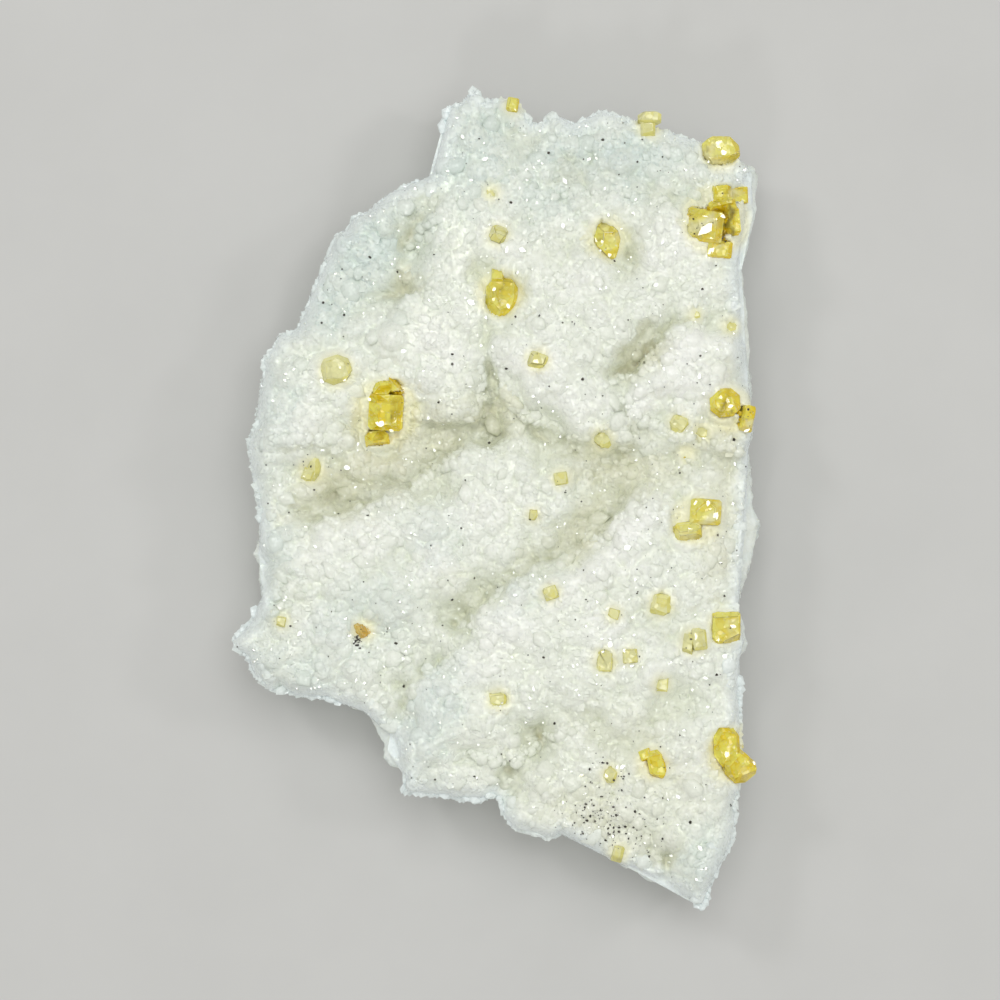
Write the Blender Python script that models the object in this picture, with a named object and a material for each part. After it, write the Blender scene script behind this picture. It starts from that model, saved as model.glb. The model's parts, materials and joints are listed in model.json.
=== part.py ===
"""A hand-size slab of white quartz druse that carries golden barite crystals.

Metres, +Z up. The slab lies on its flat broken back with the crystal side up, and the
origin is under the middle of its box. Tables are in millimetres: +X is east, +Y is north.

The pieces:
  matrix     the slab, grown as one piece: a crust of quartz heads over hummocks and
             hollows, rough broken sides, and a flat back
  barite_*   each crystal of barite, or each group that grew together, seated in a
             socket of its own in the crust
"""
import itertools
import math
import random

import bmesh
import bpy
import numpy as np
from mathutils import Matrix, Vector
from mathutils.geometry import delaunay_2d_cdt

MM = 0.001
GAP = 0.3                   # clearance between a crystal and its socket

# ---- driving dimensions of the slab, in millimetres ----
HEART = (0.0, 2.6)          # the point that every side of the slab faces away from
BACK_LEVEL = 14.2           # crust level between the hummocks, above the flat back
LIP_LEVEL = 12.4            # widest level of the crust where it rounds over the edge
BREAK_LEVEL = 14.0          # level of the sharp edge where the crust is broken off
SIDE_LEVEL = 7.5            # where the broken side stands out furthest
LEDGE_LEVEL = 4.2           # a ledge that runs unevenly round the lower side
FOOT_LEVEL = 1.5            # where the side turns in to the flat back
LEDGE_DRAW = 0.9            # how far the ledge lies inside the side
FOOT_DRAW = 1.9             # how far the foot lies inside the side
BACK_DRAW = 3.9             # how far the flat back lies inside the side
SIDE_ROUGHNESS = 1.8        # how far the break dips in between its blocks
SIDE_BLOCK = 16.0           # length of its waves
HEAD_SPACING = 3.3          # from one quartz head to the next
HEAD_RISE = 0.5             # tip of a quartz head above the crust
HEAD_FALL = 0.45            # crevice between the heads below it
EDGE_STEP = 3.2             # longest step along the edge
HUMMOCK_SPREAD = 1.25       # a hummock's foot, as a multiple of its radius
HUMMOCK_BLEND = 6.0         # how sharply one hummock meets the next

# Corners of the slab's outline, clockwise from the north tip: (x, y, break). A break of
# 1 means that 1 mm of broken side shows outside the crust, and -1 that the crust
# overhangs the side by 1 mm.
NORTH_EDGE = [
    (-3.7, 56, -1), (-2.2, 54.5, -1), (1.7, 54.6, -1), (4.5, 51.2, -1), (6, 51.4, -1),
    (6.8, 52.7, -1), (10.1, 51.2, -1), (14, 53, -1), (30.3, 47.6, -0.6), (34, 46.4, 1.2),
]
EAST_EDGE = [
    (35.2, 45.7, 2), (35.8, 40.6, 2.5), (33.5, 31.8, 1.2), (34.8, 22.9, 2),
    (35.2, 10.2, 0.9), (34.6, 7.2, 0.9), (36.2, -5.1, 3.2), (33.5, -14.8, 1.2),
    (34.5, -19.9, 1.6), (33, -21.9, 0.6), (32.6, -38.9, 0),
]
SOUTHEAST_EDGE = [
    (32.1, -41.6, 0), (31.8, -46.2, 0), (29, -51.6, 0.2), (27.7, -55.8, 0.4),
    (20, -52.2, 1.3), (8, -45.8, 0.6),
]
SOUTH_EDGE = [
    (6.4, -46.1, -0.6), (1.8, -44.8, -0.8), (0.3, -43.1, -0.8), (0.2, -40.7, -0.4),
    (-1, -40.3, 0.2), (-2.9, -41.2, 0.5), (-13.3, -39.9, 0.4),
]
SOUTHWEST_EDGE = [
    (-13.7, -37.9, 1), (-16.4, -36, 2.4), (-16, -33.8, 2.2), (-19, -29.2, 0.7),
    (-24, -27.1, 0.4), (-31.3, -26, -0.6), (-34, -23.3, 0.4), (-34.5, -21.5, 0.4),
    (-36.1, -20.2, 0.2), (-36.5, -19, 0), (-35.4, -17.8, -0.2),
]
WEST_EDGE = [
    (-33.7, -16.9, 0), (-33.5, -13.6, 1.2), (-34.6, -7.4, 2), (-32.9, -2, 0.2),
    (-34.4, 7.9, -0.8), (-33.3, 10.6, -0.8), (-32.2, 17.6, -0.8), (-32.5, 19.1, -0.8),
    (-31, 20.6, -0.8),
]
NORTHWEST_EDGE = [
    (-30.2, 22.3, -0.8), (-27.7, 23.2, -0.8), (-22.3, 36.2, -0.8), (-20.9, 36.7, -0.8),
    (-19.8, 38.7, -0.8), (-18, 39.2, -0.6), (-15.9, 41.1, -0.2), (-9.8, 44.6, 0.7),
    (-7.2, 53.5, 0.4), (-4.9, 54.2, -0.6),
]
OUTLINE = (NORTH_EDGE + EAST_EDGE + SOUTHEAST_EDGE + SOUTH_EDGE + SOUTHWEST_EDGE
           + WEST_EDGE + NORTHWEST_EDGE)

# Hummocks of the crust: (x, y, radius, height of the top above the flat back).
HUMMOCKS = [
    # north tongue
    (-3.5, 54, 2, 15.8), (-6, 50, 2.5, 16.6), (-3, 48.5, 3.5, 17), (-6.5, 45, 3.5, 17.2),
    (-1.5, 45, 3.5, 17.4), (2, 52.5, 2, 16.4), (6, 50, 1.5, 15.4), (-9.5, 43, 2.5, 16.4),
    # north slope
    (9.5, 50.5, 2.5, 15.8), (14, 50.5, 2.5, 16.2), (19, 49, 2.5, 15.8), (25, 47, 2.5, 15.8),
    (32, 44.5, 3, 16.6), (8, 45, 4.5, 17.2), (15, 46, 4.5, 17), (21, 45, 4, 17),
    (27, 44, 4, 17.2), (3, 42, 4.5, 17.8), (11, 38.5, 5, 18), (16.5, 40, 3.5, 17.6),
    (5.5, 35.5, 4, 18.4),
    # north ridge
    (-4, 41, 3, 18.4), (-7.5, 38.5, 2.5, 18.4), (-6, 34.5, 4, 19), (-1.5, 37, 4, 18.8),
    (2, 33, 3.5, 18.8),
    # northeast dome
    (22.5, 35.5, 4.5, 19.8), (27, 33.5, 4.5, 19.4), (21, 32, 3, 19.2), (30, 37, 4, 18.6),
    (32, 32, 2.5, 17.6), (32, 27, 2.5, 17.2),
    # northwest spur
    (-16, 37.5, 3, 18.6), (-20, 34.5, 3, 18), (-17, 32, 3.5, 18.2), (-21.5, 30.5, 2.5, 17.4),
    (-24, 27.5, 2.5, 16.8), (-13.5, 40.5, 2.5, 17), (-19, 38, 2, 17), (-19.5, 27, 2.5, 17),
    # west shoulder
    (-8, 29.5, 4, 19.6), (-4.5, 25.5, 4, 19.8), (-9.5, 23.5, 5, 20.2), (-14, 22, 4.5, 19.6),
    (-6, 18, 4.5, 19.6), (-6.5, 13.5, 3.5, 19.2), (-10.5, 17.5, 4.5, 19),
    (-15.5, 18, 4, 18.4), (-20, 21, 4.5, 18.2), (-2.5, 21, 2, 17.2),
    # west edge
    (-28.5, 9, 4, 19.4), (-27, 15.5, 4.5, 18.8), (-22, 17, 4, 18.4), (-30.5, 13.5, 3, 18),
    (-31, 6.5, 3, 17.6), (-24, 13.5, 3.5, 18.6), (-21, 13, 2.5, 17.8), (-29.5, 20, 2.5, 17),
    (-25, 22, 3, 17.4), (-23.5, 8, 3, 17.4),
    # centre plateau
    (1.5, 20, 3.5, 20), (6, 23.5, 4.5, 20.6), (7.5, 17, 5, 20.8), (12, 13.5, 4.5, 20.2),
    (13.5, 23, 5.5, 20.8), (11.5, 29, 5, 20), (19, 27, 4.5, 19.8), (6, 29.5, 3.5, 19),
    (16.5, 10, 3, 19.2), (25.5, 28.5, 4.5, 19.2), (30, 28.5, 3, 18),
    # east plateau
    (24.5, 21, 3.5, 20.8), (21, 16.5, 3.5, 20.2), (27, 16, 4, 20.8), (19, 13, 2.5, 19.6),
    (30, 20, 3, 20), (23.5, 8, 2, 18.6), (30.5, 8, 3, 18.8), (25.5, 11.5, 3, 19),
    (32, 13, 2.5, 18.2), (20.5, 8, 2.5, 17.8),
    # west valley
    (-14, 4, 2, 15.6), (-10, 6.5, 2, 15.4), (-19, 4.5, 2, 15.4), (-17, 0, 2, 15.6),
    (-25.5, 1.5, 2.5, 16.4), (-29.5, 0.5, 2.5, 16.6), (-31, -3, 2.5, 16.8), (-21, 8, 2, 16.2),
    (-12, 9.5, 2, 15.8), (-4, 10, 2, 15.2), (-8, 3.5, 2, 15.2),
    # east valley
    (12, -5, 2, 17.6), (10, -0.5, 2.5, 16.8), (14, -1.5, 2, 16.6), (16.5, 4, 2, 15.4),
    (11.5, 4, 2.5, 16.6), (8, 6, 2, 16.6), (27, 2.5, 4, 17.6), (32.5, 2.5, 2.5, 16.4),
    (21.5, 2.5, 3, 17),
    # southwest plateau
    (-4, 5, 3, 18.6), (0.5, 3, 4.5, 19.4), (5.5, 0, 4.5, 19.2), (-2.5, -1.5, 4.5, 19.6),
    (-10, -3.5, 4, 19.4), (-13.5, -0.5, 2.5, 18.6), (-17, -5.5, 4, 19), (-8, -9, 5, 19.6),
    (0, -6.5, 5, 19.4), (-22, -5.5, 3.5, 18.4), (-21, -11, 4.5, 19), (-27, -10, 4, 18.4),
    (-29, -5.5, 3, 17.6), (-14, -13.5, 5, 19.4), (-29.5, -15, 4, 18), (-23, -17.5, 5, 18.8),
    (6, -6, 3, 18.2), (8, 2.5, 2.5, 18), (3, 8, 2.5, 17.4),
    # southwest edge
    (-31, -20.5, 4, 17.6), (-25.5, -23, 3.5, 17.6), (-33.5, -19, 2.5, 16.8),
    (-19, -22.5, 4.5, 18.4), (-21, -26.5, 2, 16.6), (-16, -27.5, 3, 17.4),
    (-13.5, -20.5, 4, 18.4), (-10.5, -17, 3, 18.4),
    # diagonal ridge
    (20.5, -2, 4, 20.4), (17.5, -5.5, 3.5, 20.6), (13.5, -10, 3.5, 20.4), (8, -12.5, 4, 20),
    (3, -12, 3, 19.6), (0.5, -17, 4.5, 20.2), (6, -18.5, 5, 20.2), (13.5, -17, 6, 20.2),
    (20.5, -10, 5.5, 20.2), (-7, -19.5, 2, 18.4), (-2.5, -22.5, 4, 19.4), (-8.5, -27, 4, 19.8),
    (-9.5, -33, 4, 19.2), (-11.5, -38, 2, 17.8), (-2.5, -30, 4, 19.2), (3.5, -25.5, 4.5, 19.6),
    # east field
    (32, -3, 3.5, 17.6), (25.5, -3, 3.5, 18.4), (32.5, -9.5, 3, 17.4), (27, -8, 5, 19.2),
    (25.5, -13.5, 4.5, 19.4), (32, -15, 2.5, 17.6), (32, -21.5, 3, 17.6), (11, -24.5, 5, 19.6),
    (19, -21.5, 5.5, 19.6), (27, -20.5, 5, 19),
    # south field
    (-6.5, -37, 2.5, 17.4), (-3.5, -38, 2.5, 16.6), (0.5, -33, 3, 17.8), (9.5, -31, 3, 18.2),
    (17, -29, 3, 19.4), (12, -36, 4, 18.6), (7, -38.5, 3.5, 18.2), (3, -42.5, 2.5, 17.2),
    (8, -43, 3.5, 17.6), (19, -36, 2.5, 18.6), (24.5, -33, 4.5, 19.2), (30, -29, 3.5, 18.4),
    (19, -40.5, 4.5, 18.4), (13.5, -42, 4, 18), (27, -39, 4.5, 18.6), (24.5, -44.5, 4, 17.8),
    (30, -44.5, 2.5, 17.6), (17, -46.5, 3, 17), (12, -45.5, 3, 16.8), (20.5, -49.5, 2, 16),
    (27.5, -49, 4, 18.6), (26.5, -52.5, 2, 16.8),
]

# Hollows sunk into it: (x, y, half length, half width, turn in degrees, depth).
HOLLOWS = [
    (19, 20, 3.5, 1.5, 38, 6), (5.5, -32.5, 1.5, 1.9, 0, 2.6), (1, -36.5, 1.2, 1.2, 0, 2.2),
    (22.5, -49, 1.1, 1.8, 0, 2.4), (22, -51.5, 1.4, 1.1, 0, 1.6), (-13, 28.5, 1.2, 0.9, 0, 2),
    (-12, 36, 1.5, 1.6, 0, 1.6), (-15.5, 27.5, 1.6, 0.9, 0, 1.4), (0.5, 51.5, 1.2, 1.9, 0, 1.6),
    (17.5, 33, 1.9, 0.9, -35, 1.6), (-5.5, 9.5, 1.6, 1.2, 0, 1.4), (-1.5, 12, 1.9, 1.2, -40, 1.6),
    (-23, 0.5, 2.2, 1.2, 30, 1.6), (17, 6, 1.5, 0.9, -30, 1.2), (-2, 23, 0.9, 3, 0, 1.4),
    (5.5, 8.5, 2.4, 0.8, -35, 1.4), (0, -12, 3, 1.1, 40, 1.4), (-6.5, -15, 1.6, 1.4, 0, 1.2),
    (15, -5, 0.8, 1.6, 0, 1.4), (-8.5, -22, 1.2, 1.6, 0, 1.2),
]

# Habits of barite: how much of the upright corners, the long top edges and the short
# top edges is cut away, from 0, none, to 1, half of the face.
BLOCK = (0.16, 0.30, 0.34)
CUBE = (0.10, 0.14, 0.14)
TABLET = (0.55, 0.26, 0.30)
LEAF = (0.80, 0.46, 0.50)
WEDGE = (0.42, 0.85, 0.30)

# The barite crystals. Each node holds one crystal or a group that grew together:
# (x, y, (length, width, depth), habit, turn, lean east, lean north, rise), where the
# turn and the leans are in degrees and the rise is of the crystal's middle above the
# crust.
BARITES = {
    "barite_north_tip": [(1.7, 53.3, (1.9, 1.6, 2.6), BLOCK, 80, 0, 8, 0.2)],
    "barite_north_edge": [
        (20.2, 51.6, (3.2, 1.5, 2.2), TABLET, 0, 0, 14, 1.5),
        (20.0, 50.3, (2.0, 2.4, 2.4), BLOCK, 0, 0, 6, 0.0),
    ],
    "barite_north_corner": [(29.8, 47.1, (5.1, 3.6, 3.4), TABLET, 0, 4, 14, 0.6)],
    "barite_northeast_cluster": [
        (27.6, 37.1, (5.1, 4.3, 4.4), BLOCK, -8, -6, -10, 0.9),
        (29.9, 39.5, (3.6, 2.2, 4.0), WEDGE, 12, 0, 10, 1.3),
        (30.9, 37.6, (4.2, 1.5, 4.4), TABLET, 97, 22, 0, 1.0),
        (29.9, 41.3, (2.8, 2.6, 3.4), BLOCK, 6, 0, 6, 0.5),
        (32.2, 41.2, (2.4, 2.3, 2.6), CUBE, 2, 6, 0, 0.1),
        (29.6, 33.9, (3.3, 2.3, 2.6), BLOCK, -5, 0, -12, 0.2),
    ],
    "barite_north_leaf": [(14.4, 35.3, (5.7, 3.4, 3.4), LEAF, -74, 8, 0, 0.4)],
    "barite_north_bud": [(-0.2, 35.8, (2.3, 2.3, 2.8), WEDGE, -20, 0, 8, 0.2)],
    "barite_north_speck": [(-1.1, 41.4, (1.9, 1.5, 2.0), CUBE, 0, 0, 0, 0.0)],
    "barite_centre_block": [
        (0.1, 27.4, (5.4, 4.3, 4.6), TABLET, 88, 5, 4, 0.9),
        (-0.3, 30.2, (1.8, 1.7, 3.0), BLOCK, 88, 0, 10, 0.5),
    ],
    "barite_west_block": [
        (-15.3, 12.0, (4.9, 4.7, 5.4), BLOCK, 86, -4, -6, 1.6),
        (-16.6, 8.3, (3.3, 2.3, 3.4), WEDGE, 8, 0, -14, 0.9),
        (-16.0, 15.2, (2.8, 2.0, 3.4), WEDGE, 2, 0, 12, 0.7),
        (-13.9, 15.7, (1.9, 2.0, 2.6), CUBE, 10, 0, 0, 0.2),
    ],
    "barite_west_tablet": [(-22.1, 17.5, (4.3, 3.7, 2.8), TABLET, 20, -6, 4, 0.1)],
    "barite_west_foot": [
        (-25.1, 4.1, (3.2, 1.6, 2.6), TABLET, 80, -8, 0, 0.2),
        (-26.0, 3.4, (1.8, 1.5, 2.4), BLOCK, 70, 0, 0, 0.0),
    ],
    "barite_plateau_block": [(5.1, 18.7, (2.6, 2.2, 2.4), BLOCK, -20, 0, 0, 0.0)],
    "barite_east_speck": [(26.3, 25.0, (1.2, 1.1, 1.8), CUBE, 15, 0, 0, 0.0)],
    "barite_east_rim": [(31.2, 23.4, (2.1, 1.7, 2.2), TABLET, 80, 6, 0, 0.0)],
    "barite_east_pair": [
        (30.3, 13.0, (4.1, 3.9, 4.4), TABLET, 4, 0, 4, 1.0),
        (33.2, 11.0, (3.6, 1.8, 3.6), BLOCK, 78, 10, 0, 0.9),
    ],
    "barite_east_left": [(24.1, 10.3, (2.5, 2.4, 2.2), TABLET, 60, 0, 0, 0.0)],
    "barite_east_low": [(27.3, 9.2, (2.1, 1.7, 2.2), BLOCK, -12, 0, 0, 0.0)],
    "barite_east_dark": [(25.2, 6.3, (1.4, 1.3, 2.0), CUBE, 30, 0, 0, 0.0)],
    "barite_centre_tablet": [(13.8, 8.2, (2.9, 2.0, 2.4), TABLET, -38, 6, 8, 0.2)],
    "barite_centre_bud": [(8.2, 2.9, (1.8, 1.7, 2.2), CUBE, 10, 0, 0, 0.0)],
    "barite_centre_speck": [(4.5, -2.0, (1.5, 1.2, 1.9), CUBE, 84, 0, 0, 0.0)],
    "barite_east_wing": [
        (27.7, -1.7, (4.2, 3.5, 3.6), BLOCK, -4, 0, 6, 0.7),
        (25.2, -4.3, (4.0, 2.7, 3.2), WEDGE, 6, -4, -6, 0.4),
    ],
    "barite_ridge_bud": [(6.8, -12.5, (1.9, 1.8, 2.1), CUBE, 20, 0, 0, 0.0)],
    "barite_ridge_rectangle": [(14.1, -21.5, (3.2, 2.1, 2.4), CUBE, 88, 0, 0, 0.1)],
    "barite_ridge_pale": [(17.5, -21.0, (2.0, 1.9, 2.0), CUBE, 4, 0, 0, 0.0)],
    "barite_ridge_speck": [(15.3, -15.3, (1.5, 1.3, 1.9), CUBE, -15, 0, 0, 0.0)],
    "barite_southeast_bud": [(21.7, -14.0, (2.9, 2.7, 2.6), BLOCK, 80, 0, -6, 0.2)],
    "barite_southeast_cube": [(30.4, -17.2, (4.3, 3.8, 4.2), CUBE, 90, 4, 0, 0.7)],
    "barite_southeast_pair": [
        (26.8, -18.7, (3.0, 1.9, 2.8), BLOCK, 96, 4, 0, 0.4),
        (25.4, -19.4, (2.8, 1.4, 2.4), CUBE, 84, -6, 0, 0.0),
    ],
    "barite_southeast_point": [
        (30.5, -33.2, (5.6, 3.5, 4.6), TABLET, 94, 4, 0, 1.2),
        (32.1, -36.0, (4.3, 4.0, 4.6), TABLET, -42, 12, -8, 1.4),
    ],
    "barite_south_pale": [(21.7, -24.8, (2.0, 1.9, 2.0), CUBE, 85, 0, 0, 0.0)],
    "barite_south_tower": [
        (21.0, -35.7, (4.0, 2.3, 3.4), TABLET, -78, 6, 0, 0.5),
        (19.6, -34.4, (1.6, 1.5, 2.4), BLOCK, 20, 0, 6, 0.4),
    ],
    "barite_south_bud": [(14.9, -37.0, (2.3, 2.2, 2.4), TABLET, 45, 0, 0, 0.1)],
    "barite_south_edge": [(15.9, -47.7, (2.3, 1.5, 2.2), BLOCK, 75, 0, -6, 0.2)],
    "barite_southwest_tablet": [(-0.2, -26.9, (2.8, 2.0, 2.2), BLOCK, 6, 0, -6, 0.1)],
    "barite_southwest_orange": [
        (-18.8, -17.6, (2.2, 1.6, 2.8), WEDGE, -60, 0, 0, 0.4),
        (-18.0, -17.9, (1.5, 1.4, 2.2), BLOCK, 30, 6, 0, 0.1),
    ],
    "barite_southwest_speck": [(-29.5, -16.4, (1.4, 1.2, 1.8), CUBE, 80, 0, 0, 0.0)],
}


# ---- materials ----

def principled(name, color, roughness):
    """A plain Principled material."""
    mat = bpy.data.materials.new(name)
    mat.use_nodes = True
    shader = mat.node_tree.nodes["Principled BSDF"]
    shader.inputs["Base Color"].default_value = (*color, 1.0)
    shader.inputs["Roughness"].default_value = roughness
    shader.inputs["Metallic"].default_value = 0.0
    return mat


def solid(name, points, faces, mat):
    """A new object from points in millimetres and faces."""
    mesh = bpy.data.meshes.new(name)
    mesh.from_pydata([tuple(np.multiply(p, MM)) for p in points], [], faces)
    mesh.materials.append(mat)
    obj = bpy.data.objects.new(name, mesh)
    bpy.context.scene.collection.objects.link(obj)
    return obj


# ---- the crust ----

def distance_to_outline(x, y):
    """Distance from each point to the slab's outline, and the break where it is nearest."""
    ends = np.array(OUTLINE)
    nearest = np.full(np.shape(x), np.inf)
    at_break = np.zeros(np.shape(x))
    for a, b in zip(ends, np.roll(ends, -1, axis=0)):
        run = b[:2] - a[:2]
        along = ((x - a[0]) * run[0] + (y - a[1]) * run[1]) / run.dot(run)
        along = np.clip(along, 0.0, 1.0)
        reach = np.hypot(x - a[0] - along * run[0], y - a[1] - along * run[1])
        closer = reach < nearest
        nearest = np.where(closer, reach, nearest)
        at_break = np.where(closer, a[2] + along * (b[2] - a[2]), at_break)
    return nearest, at_break


def crust_height(x, y):
    """Height of the crust: hummocks that blend into each other, less the hollows."""
    total = np.zeros(np.shape(x))
    for hx, hy, radius, top in HUMMOCKS:
        away = ((x - hx) ** 2 + (y - hy) ** 2) / (HUMMOCK_SPREAD * radius) ** 2
        total += ((top - BACK_LEVEL) * np.clip(1.0 - away, 0.0, 1.0)) ** HUMMOCK_BLEND
    height = BACK_LEVEL + total ** (1.0 / HUMMOCK_BLEND)
    for hx, hy, half_length, half_width, turn, depth in HOLLOWS:
        c, s = math.cos(math.radians(turn)), math.sin(math.radians(turn))
        along = ((x - hx) * c + (y - hy) * s) / half_length
        across = ((y - hy) * c - (x - hx) * s) / half_width
        height -= depth * np.exp(-(along ** 2 + across ** 2))
    return height


def rounded_crust_height(x, y):
    """The crust's height, rounded over near the edge, and less so where it is broken."""
    away, at_break = distance_to_outline(x, y)
    sharp = np.clip(at_break / 1.5, 0.0, 1.0)
    away = away - np.clip(at_break, 0.0, None)
    width = 2.6 - 1.8 * sharp
    edge = LIP_LEVEL + (BREAK_LEVEL - LIP_LEVEL) * sharp
    turn = 1.0 - np.clip(away / width, 0.0, 1.0)
    return edge + (crust_height(x, y) - edge) * np.sqrt(1.0 - turn ** 2)


# ---- the slab ----

def edge_stations():
    """Points along the outline, no further apart than EDGE_STEP: (x, y, break)."""
    stations = []
    for a, b in zip(OUTLINE, OUTLINE[1:] + OUTLINE[:1]):
        steps = max(1, round(math.dist(a[:2], b[:2]) / EDGE_STEP))
        for i in range(steps):
            stations.append([p + (q - p) * i / steps for p, q in zip(a, b)])
    return stations


def drawn_in(station, draw):
    """A station moved towards the slab's heart."""
    away = Vector((station[0] - HEART[0], station[1] - HEART[1]))
    return Vector(station[:2]) - away.normalized() * draw


def unevenness(x, y, z):
    """A smooth unevenness from -1 to 1: three crossed waves, each bent by another."""
    k = 2.0 * math.pi / SIDE_BLOCK
    east = np.sin(k * (0.9 * x + 0.44 * z) + 1.7 * np.sin(k * 0.61 * y + 0.9))
    north = np.sin(k * (0.8 * y - 0.35 * x) + 1.5 * np.sin(k * 0.53 * z + 2.1))
    upward = np.sin(k * (1.1 * z + 0.3 * y) + 1.4 * np.sin(k * 0.47 * x + 4.0))
    return (east + north + upward) / 3.0


def side_rings(stations):
    """Rings of points from the crust's rim down the broken side to the flat back."""
    rings = [[] for _ in range(6)]
    for station in stations:
        broken = max(station[2], 0.0)
        hung = max(-station[2], 0.0)
        sharp = min(broken / 1.5, 1.0)
        rim_level = LIP_LEVEL + (BREAK_LEVEL - LIP_LEVEL) * sharp
        # draw from the outline, level, how much the break roughens the draw and the level
        shape = [
            (broken, rim_level, 0.0, 0.0),
            (0.6 * broken + 0.6 * hung, 0.5 * (rim_level + SIDE_LEVEL), 0.4, 0.7),
            (hung + 0.3 * (1.0 - sharp), SIDE_LEVEL, 0.8, 1.8),
            (hung + LEDGE_DRAW, LEDGE_LEVEL, 1.0, 1.5),
            (hung + FOOT_DRAW, FOOT_LEVEL, 1.0, 0.9),
            (hung + BACK_DRAW, 0.0, 1.0, 0.0),
        ]
        for ring, (draw, level, rough_draw, rough_level) in zip(rings, shape):
            block = unevenness(station[0], station[1], 1.7 * level)
            slip = unevenness(station[0] + 31.0, station[1] + 7.0, level)
            dip = rough_draw * SIDE_ROUGHNESS * max(block + 0.1, 0.0)
            x, y = drawn_in(station, draw + dip)
            ring.append((x, y, level + 0.5 * rough_level * slip))
    return rings


def head_places(rng):
    """Places of the quartz heads: a jittered six-sided lattice inside the rim."""
    row_step = HEAD_SPACING * math.sqrt(3.0) / 2.0
    places = []
    for row in range(-25, 26):
        for column in range(-16, 17):
            x = (column + 0.5 * (row % 2)) * HEAD_SPACING + rng.uniform(-0.75, 0.75)
            y = row * row_step + rng.uniform(-0.75, 0.75)
            places.append((x, y))
    x, y = np.array(places).T
    away, at_break = distance_to_outline(x, y)
    inside = inside_outline(x, y) & (away - np.clip(at_break, 0.0, None) > 1.35)
    return [tuple(p) for p in np.array(places)[inside]]


def inside_outline(x, y):
    """Whether each point lies inside the outline, by counting crossings eastward."""
    ends = np.array(OUTLINE)
    crossings = np.zeros(np.shape(x), dtype=int)
    for a, b in zip(ends, np.roll(ends, -1, axis=0)):
        if a[1] == b[1]:
            continue
        spans = (a[1] > y) != (b[1] > y)
        meets = a[0] + (y - a[1]) / (b[1] - a[1]) * (b[0] - a[0])
        crossings += spans & (x < meets)
    return crossings % 2 == 1


def crust_faces(rim, heads, rng):
    """Points and faces of the crust: a six-sided peak on each head, a crevice round it."""
    count = len(rim)
    flat = [Vector(p[:2]) for p in rim] + [Vector(p) for p in heads]
    loop = list(range(count))
    result = delaunay_2d_cdt(flat, [], [loop], 1, 1e-6)
    corners = np.array([tuple(v) for v in result[0]])
    triangles = [tuple(f) for f in result[2]]
    middles = np.array([corners[list(t)].mean(axis=0) for t in triangles])
    tops = rounded_crust_height(corners[:, 0], corners[:, 1])
    tops += [rng.uniform(0.5, 1.4) * HEAD_RISE for _ in tops]
    tops[:count] = [p[2] for p in rim]
    lows = rounded_crust_height(middles[:, 0], middles[:, 1])
    lows -= [rng.uniform(0.6, 1.3) * HEAD_FALL for _ in lows]
    points = [(*p, z) for p, z in zip(corners, tops)]
    points += [(*p, z) for p, z in zip(middles, lows)]
    beside = {}
    for index, triangle in enumerate(triangles):
        for a, b in zip(triangle, triangle[1:] + triangle[:1]):
            beside[a, b] = len(corners) + index
    faces = []
    for (a, b), middle in beside.items():
        if (b, a) not in beside:
            faces.append((a, b, middle))
        elif a < b:
            other = beside[b, a]
            faces.append((a, other, middle))
            faces.append((b, middle, other))
    return points, faces


def make_slab(mat):
    """The slab: the crust, the broken sides and the flat back, as one closed solid."""
    rng = random.Random(7)
    rings = side_rings(edge_stations())
    rim = rings[0]
    points, faces = crust_faces(rim, head_places(rng), rng)
    count = len(rim)
    starts = [0]
    for ring in rings[1:]:
        starts.append(len(points))
        points += ring
    for upper, lower in zip(starts, starts[1:]):
        for i in range(count):
            j = (i + 1) % count
            faces.append((upper + i, upper + j, lower + j))
            faces.append((upper + i, lower + j, lower + i))
    faces.append([starts[-1] + i for i in range(count)])
    slab = solid("matrix", points, faces, mat)
    bm = bmesh.new()
    bm.from_mesh(slab.data)
    bmesh.ops.triangulate(bm, faces=[f for f in bm.faces if len(f.verts) > 3])
    bmesh.ops.recalc_face_normals(bm, faces=bm.faces)
    bm.to_mesh(slab.data)
    bm.free()
    return slab


# ---- the barite crystals ----

def habit_planes(size, habit):
    """The faces of a crystal: outward normals and their distances from its middle."""
    half = np.array(size) / 2.0
    corner, long_edge, short_edge = habit
    planes = []
    for axis in range(3):
        for sign in (-1.0, 1.0):
            normal = np.zeros(3)
            normal[axis] = sign
            planes.append((normal, half[axis]))
    cuts = [((a, b, 0), corner) for a in (-1, 1) for b in (-1, 1)]
    cuts += [((0, b, 1), long_edge) for b in (-1, 1)]
    cuts += [((a, 0, 1), short_edge) for a in (-1, 1)]
    for signs, cut in cuts:
        slope = np.array(signs) / half
        length = np.linalg.norm(slope)
        planes.append((slope / length, (2.0 - cut) / length))
    return planes


def crystal_object(name, size, habit, frame, grow, mat):
    """A convex crystal: the points where three faces meet inside all the others."""
    planes = habit_planes(size, habit)
    normals = np.array([n for n, _ in planes])
    reach = np.array([d + grow for _, d in planes])
    corners = []
    for trio in itertools.combinations(range(len(planes)), 3):
        sides = normals[list(trio)]
        if abs(np.linalg.det(sides)) < 1e-6:
            continue
        point = np.linalg.solve(sides, reach[list(trio)])
        if np.all(normals @ point <= reach + 1e-6):
            corners.append(point)
    bm = bmesh.new()
    for point in corners:
        bm.verts.new(frame @ (Vector(point) * MM))
    bmesh.ops.remove_doubles(bm, verts=bm.verts, dist=1e-6)
    bmesh.ops.convex_hull(bm, input=bm.verts)
    bmesh.ops.dissolve_limit(bm, angle_limit=0.01, verts=bm.verts, edges=bm.edges)
    bmesh.ops.recalc_face_normals(bm, faces=bm.faces)
    mesh = bpy.data.meshes.new(name)
    bm.to_mesh(mesh)
    bm.free()
    mesh.materials.append(mat)
    obj = bpy.data.objects.new(name, mesh)
    bpy.context.scene.collection.objects.link(obj)
    return obj


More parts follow.
